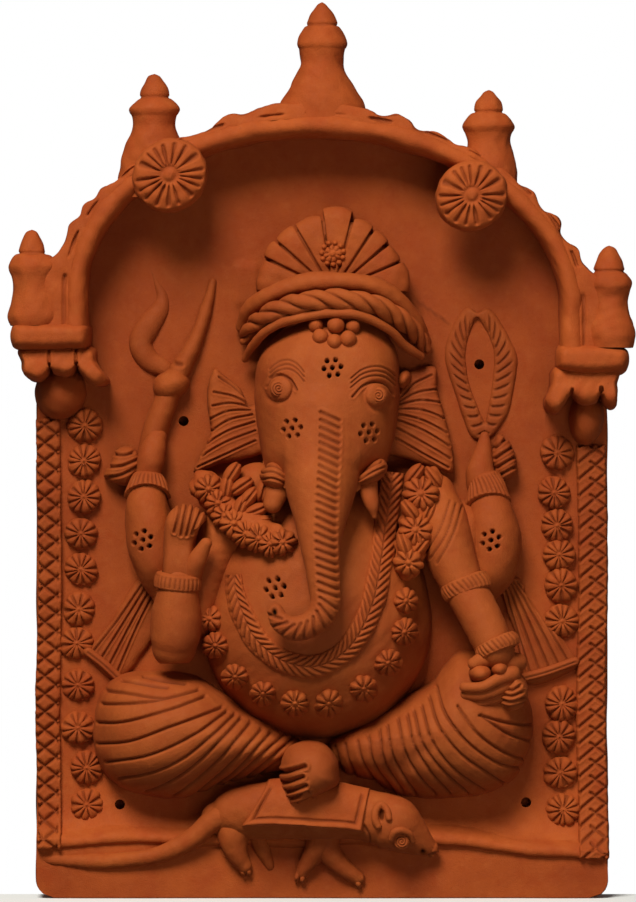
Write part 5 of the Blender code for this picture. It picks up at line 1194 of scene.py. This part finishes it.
def make_legs():
    """Crossed legs in pleated cloth: lumps over their outlines, scored along the pleats."""
    outlines = {
        "left": [(-113.5, 92), (-109, 104), (-100, 111.5), (-83, 113), (-63, 110), (-48, 101), (-34, 91),
                 (-20, 83), (-10, 76), (-10, 68), (-18, 64), (-30, 61), (-49.5, 56), (-72, 49.5),
                 (-95, 52.5), (-108.5, 62), (-114, 76)],
        "right": [(4, 77), (18, 85), (32, 93), (46, 102), (55, 108), (62, 116), (70, 122.5), (84, 120),
                  (97, 111), (104.5, 96), (105.5, 82), (101.5, 68), (94.5, 57.5), (82, 52), (69, 50),
                  (52, 50), (37.5, 51.5), (26, 58), (12, 62), (5, 68)],
    }
    pleats = {
        "left": [[(-110, 97.0), (-95.8, 97.8), (-77, 101), (-61.5, 104.3)],
                 [(-112.3, 87.6), (-98.2, 88.7), (-77.9, 94.6), (-58.3, 101.2)],
                 [(-112, 77), (-95.1, 79.3), (-74.8, 86.8), (-49.8, 95.9)],
                 [(-108, 68), (-87.3, 72), (-66.9, 80.6), (-47.4, 93.8)],
                 [(-102, 60), (-87.3, 62.6), (-66.9, 72), (-43.5, 92.3)],
                 [(-88, 53), (-79.4, 56.8), (-63.8, 66.5), (-40.4, 90.3)],
                 [(-74, 51), (-56, 64.9), (-35.7, 88.1)], [(-64, 51), (-48.2, 64.9), (-30.2, 84.9)],
                 [(-57, 52), (-41.9, 64.9), (-25.5, 83.4)], [(-50, 54), (-34.1, 68.1), (-20.1, 81.3)],
                 [(-42, 56.5), (-27.9, 68.1), (-15.4, 79.3)], [(-34, 59), (-21.6, 68.8), (-12, 76)],
                 [(-108, 103.5), (-93, 102.4), (-77.9, 100.9)], [(-100, 108.8), (-77, 106)],
                 [(-89, 110.8), (-68.5, 107.4)]],
        "right": [[(78.4, 92.3), (92.4, 88.1), (105, 86.5)], [(79.2, 92.3), (90.9, 83.7), (104.2, 78.2)],
                  [(67.4, 97), (76.8, 83.7), (89.3, 74.3), (102, 68.8)],
                  [(57.3, 105.6), (61.2, 93.1), (72.1, 79), (86.2, 68.8), (99.5, 64.5)],
                  [(53.4, 100.9), (58.1, 86.8), (69, 72.8), (84.6, 61.8), (92, 56)],
                  [(49.5, 96.5), (54.9, 79), (65.9, 64.9), (81, 53.5)],
                  [(45.6, 94), (50.3, 77.4), (61.2, 63.4), (73, 52)],
                  [(42.4, 92), (45.6, 77.4), (53.4, 64.9), (64, 52)],
                  [(37.8, 90), (40.9, 74.3), (47.1, 63.4), (56.5, 52)],
                  [(32.3, 87), (34.6, 72.8), (39.3, 63.4), (47, 52)],
                  [(28.4, 85), (29.9, 72), (33.8, 63.4), (40.5, 53.5)],
                  [(22.9, 82), (24.5, 71.2), (28.4, 63.4), (36, 53)],
                  [(17.4, 79.5), (19, 71.2), (22.9, 63.4), (29.5, 54)],
                  [(11.2, 77.5), (12.8, 69.6), (16.4, 61)], [(6.5, 75.9), (8.8, 66.5), (11, 60)]],
    }
    for side, centre, seed in (("left", (-72, 84), 150), ("right", (66, 85), 151)):
        p = mound(outlines[side], back=SUNK, rise=42.0, around=420, count=104, e=0.92, centre=centre)
        near = stroke_distance(p, pleats[side])
        furrow = bell(near, 0.65)
        height = 0.6 * (1 - np.exp(-near / 2.2)) - 1.6 * furrow + hand(p, seed, 0.4, 0.1)
        add(f"leg_{side}", patch(p, True, height, furrow), "figure_clay")

    ball = mound([(-14, 77.5), (-5, 79), (2, 77), (7.3, 70), (8.4, 63), (7.6, 56.5), (-2.7, 50.5), (-9, 47),
                  (-13.5, 45.3), (-17.3, 48), (-19, 53), (-20.4, 58.5), (-20.8, 66.5), (-19, 73)],
                 back=30.0, rise=28.0, around=190, count=62, e=0.8, centre=(-4.5, 64))
    toes = [[(-23, 63), (-17, 64.3), (-8.5, 67.3)], [(-23, 57.6), (-17, 59.2), (-9.6, 62)],
            [(-22, 52.8), (-16, 54.6), (-8.2, 57.6)], [(-20.5, 49), (-15, 51), (-7, 54.2)],
            [(-19, 45.6), (-13, 47.8), (-5.5, 50.8)]]
    add("foot", worked(ball, 165, 0.35, 0.1, toes, width=0.95, depth=2.2, lip=0.35), "figure_clay")


def make_mouse():
    """The mouse: a body drawn out to the snout, coiled ear and eye, four legs, a tail and a saddle cloth."""
    spine = [(-52, 26, 40, 8.5), (-42, 28, 42.5, 12.6), (-20, 30, 44.6, 15), (4, 30, 43.6, 14.6),
             (20, 30, 42, 13), (31, 31, 39.5, 13.4), (37, 32, 36.8, 13.6), (43.5, 31.5, 32, 10.6),
             (50, 30.5, 27.4, 6.6), (54.4, 29.5, 24.8, 3.8)]
    body = tube(spine, along=210, around=100, flat=0.95)
    x, front, z = body[..., 0], body[..., 1] > 30, body[..., 2]
    lines = [[(21, 37), (24, 31), (23, 25)], [(50.5, 20.4), (54, 22.2), (57, 22.6)]]
    cut, groove = strokes(body, lines, width=0.6, depth=0.8)
    nostril = bell(np.hypot(x - 50.4, z - 23.4), 1.2) * front
    hollow = (1 - ramp(np.hypot((x - 29.6) / 1.1, (z - 42.6) / 2.8), 0.7, 1.3)) * front
    height = cut - 1.2 * nostril - 1.6 * hollow + hand(body, 160, 0.45, 0.1)
    ex, ez = 39.6, 29.2
    # painted shade: the nostril and half of the ear's hollow are marked as holes and painted dark, the hollow
    # also as a groove
    made = [patch(body, True, height, np.maximum(groove, hollow), np.maximum(nostril, 0.5 * hollow)),
            eyeball(ex, skin(body, ex, ez) - 1.6, ez, radius=4.2, rise=4.0)]
    curl = [(28, 37, 1.6), (26.4, 40.5, 1.8), (26.8, 45, 1.9), (29.6, 47.4, 1.9), (32.4, 45, 1.8),
            (33.2, 41, 1.5)]
    lid = [(34.4, 30.5, 1.2), (36, 34.0, 1.7), (39.8, 34.9, 1.8), (43.6, 33, 1.6), (45.2, 29.4, 1.1)]
    laid_on = [[(cx, skin(body, cx, cz) + 0.8, cz, r) for cx, cz, r in run] for run in (curl, lid)]
    made += coils(laid_on, along=40)
    legs = coils([[(-41, 26, 40, 11), (-44, 28, 31, 8.6), (-42.6, 28.6, 22.6, 5.6), (-38.6, 27.4, 15.8, 3.5)],
                  [(-33, 24, 32, 5.4), (-30.2, 25, 25.4, 4.2), (-27.6, 24.6, 19, 3.1), (-26, 24, 15.8, 2.6)],
                  [(1, 28, 35, 9), (-1, 29, 27.5, 7.2), (-6, 28, 19, 4.6), (-10, 26.6, 12.6, 3.4)],
                  [(1, 28, 33, 8.6), (3, 28.4, 24, 6.4), (9.4, 27.6, 16, 4.7), (17.6, 26.4, 10.2, 3.7)]],
                 along=50, around=36, seed=162)
    claws = coils([[(x, 27.4, z, 1.2), (x + dx, 28.4, z - 2.6, 1.3), (x + 1.6 * dx, 26.6, z - 4.4, 1.0)]
                   for x, z, dx in ((-40.4, 15.2, 0.8), (-37.8, 15.6, 1.0), (-12, 13, -0.6), (-9.6, 12, -0.2),
                                    (18.6, 12.4, 1.2), (17, 9.6, 1.2))], along=12, around=14)
    add("mouse_body", made + legs + claws, "figure_clay")

    tail = tube([(-45, 30, 44, 7.4), (-55, 30, 38.4, 5.6), (-63, 28.6, 31, 5.0), (-74, 27, 24.4, 4.6),
                 (-88, 26, 20, 4.2), (-109, 25, 18, 3.8), (-130, 24, 18.6, 3.2), (-141, 22.5, 19.6, 2.0)],
                along=150, around=44)
    add("mouse_tail", worked(tail, 163, 0.4, 0.12), "figure_clay")

    u = np.linspace(0, 1, 130)[:, None]
    v = np.linspace(0, 1, 62)
    left, right = -27.0 - 13.0 * v, 24.4 - 4.4 * v
    x = left + (right - left) * u
    back = smooth(spine, 200)
    deep, middle, round_ = (np.interp(x, back[:, 0], back[:, k]) for k in (1, 2, 3))
    round_ = round_ + 1.5
    low = np.interp(u, [0, 0.5, 1], [36.4, 37.0, 33.4]) + 0.6 * np.sin(u * 9)
    top = middle + 0.97 * round_
    z = top + (low - top) * v
    rise = np.clip((z - middle) / round_, 0, 1)
    edge = np.minimum(np.minimum(u, 1 - u) * 56, (1 - v) * 23)
    depth = deep + 0.95 * round_ * np.sqrt(1 - rise**2) + 1.2 * ramp(v, 0.6, 1.0)
    depth = depth + 0.8 * bell(edge - 1.6, 1.2) - 4.0 * (1 - ramp(edge, 0, 1.0))
    p = grid(x, depth, z)
    hem = bell(edge - 4.0, 0.6) * ramp(v, 0.1, 0.2)
    add("saddle_cloth", patch(p, False, hand(p, 164, 0.4, 0.1) - hem, hem), "trim_clay")


# Stage, light and camera

def make_stage():
    """A plain pale floor in front of the wall, just under the foot, in metres."""
    half, front, back, gap = 0.9, -0.7, 0.004, 0.0004
    floor = bpy.data.meshes.new("floor")
    corners = [(-half, front, 0), (half, front, 0), (half, back, 0), (-half, back, 0)]
    floor.from_pydata(corners, [], [(0, 1, 2, 3)])
    made = bpy.data.objects.new("floor", floor)
    made.location = (0, 0, -DATUM * MM - gap)
    bpy.context.scene.collection.objects.link(made)
    pale = bpy.data.materials.new("pale floor")
    pale.use_nodes = True
    shader = pale.node_tree.nodes["Principled BSDF"]
    shader.inputs["Base Color"].default_value = (0.93, 0.93, 0.93, 1)
    shader.inputs["Roughness"].default_value = 0.9
    floor.materials.append(pale)
    made.visible_diffuse = False


def lamp(name, place, target, size, power, colour):
    """A square soft light at a place in metres, turned to its target."""
    data = bpy.data.lights.new(name, "AREA")
    data.shape = "SQUARE"
    data.size = size
    data.energy = power
    data.color = colour
    made = bpy.data.objects.new(name, data)
    made.location = place
    made.rotation_euler = (Vector(target) - Vector(place)).to_track_quat("-Z", "Y").to_euler()
    bpy.context.scene.collection.objects.link(made)


def make_light():
    """A soft key from the upper left, a faint fill, and a sky that only the camera sees as white."""
    lamp("key", (-0.675, -2.10, 2.34), target=(0, 0, 0.06), size=1.2, power=122, colour=(1.0, 0.99, 0.91))
    lamp("fill", (0.35, -0.80, -0.45), target=(0, 0, -0.10), size=0.8, power=8.5, colour=(1.0, 0.95, 0.90))
    world = bpy.context.scene.world or bpy.data.worlds.new("world")
    bpy.context.scene.world = world
    world.use_nodes = True
    tree = world.node_tree
    tree.nodes.clear()
    seen, air = (tree.nodes.new("ShaderNodeBackground") for _ in range(2))
    seen.inputs["Color"].default_value = (1, 1, 1, 1)
    seen.inputs["Strength"].default_value = 1.0
    air.inputs["Color"].default_value = (1.0, 0.96, 0.92, 1)
    air.inputs["Strength"].default_value = 0.09
    rays = tree.nodes.new("ShaderNodeLightPath")
    pick = tree.nodes.new("ShaderNodeMixShader")
    out = tree.nodes.new("ShaderNodeOutputWorld")
    tree.links.new(rays.outputs["Is Camera Ray"], pick.inputs["Fac"])
    tree.links.new(air.outputs["Background"], pick.inputs[1])
    tree.links.new(seen.outputs["Background"], pick.inputs[2])
    tree.links.new(pick.outputs["Shader"], out.inputs["Surface"])


def make_camera():
    """A level camera straight in front, whose picture takes in a given height at the depth of the figure."""
    distance, tall, figure = 3.0, 0.451, 0.028
    data = bpy.data.cameras.new("camera")
    made = bpy.data.objects.new("camera", data)
    made.location = (-0.002, -distance, 0.0735)
    made.rotation_euler = (PI / 2, 0, 0)
    data.angle = 2 * math.atan(tall / 2 / (distance - figure))
    data.clip_end = 50
    bpy.context.scene.collection.objects.link(made)
    bpy.context.scene.camera = made
    bpy.context.scene.view_settings.view_transform = "Standard"


for make in (make_slab, make_base, make_arch, make_finials, make_corbels, make_rosettes, make_strips,
             make_belly, make_head, make_ears, make_crown, make_rear_arms, make_front_arms, make_attributes,
             make_legs, make_mouse, make_stage, make_light, make_camera):
    make()
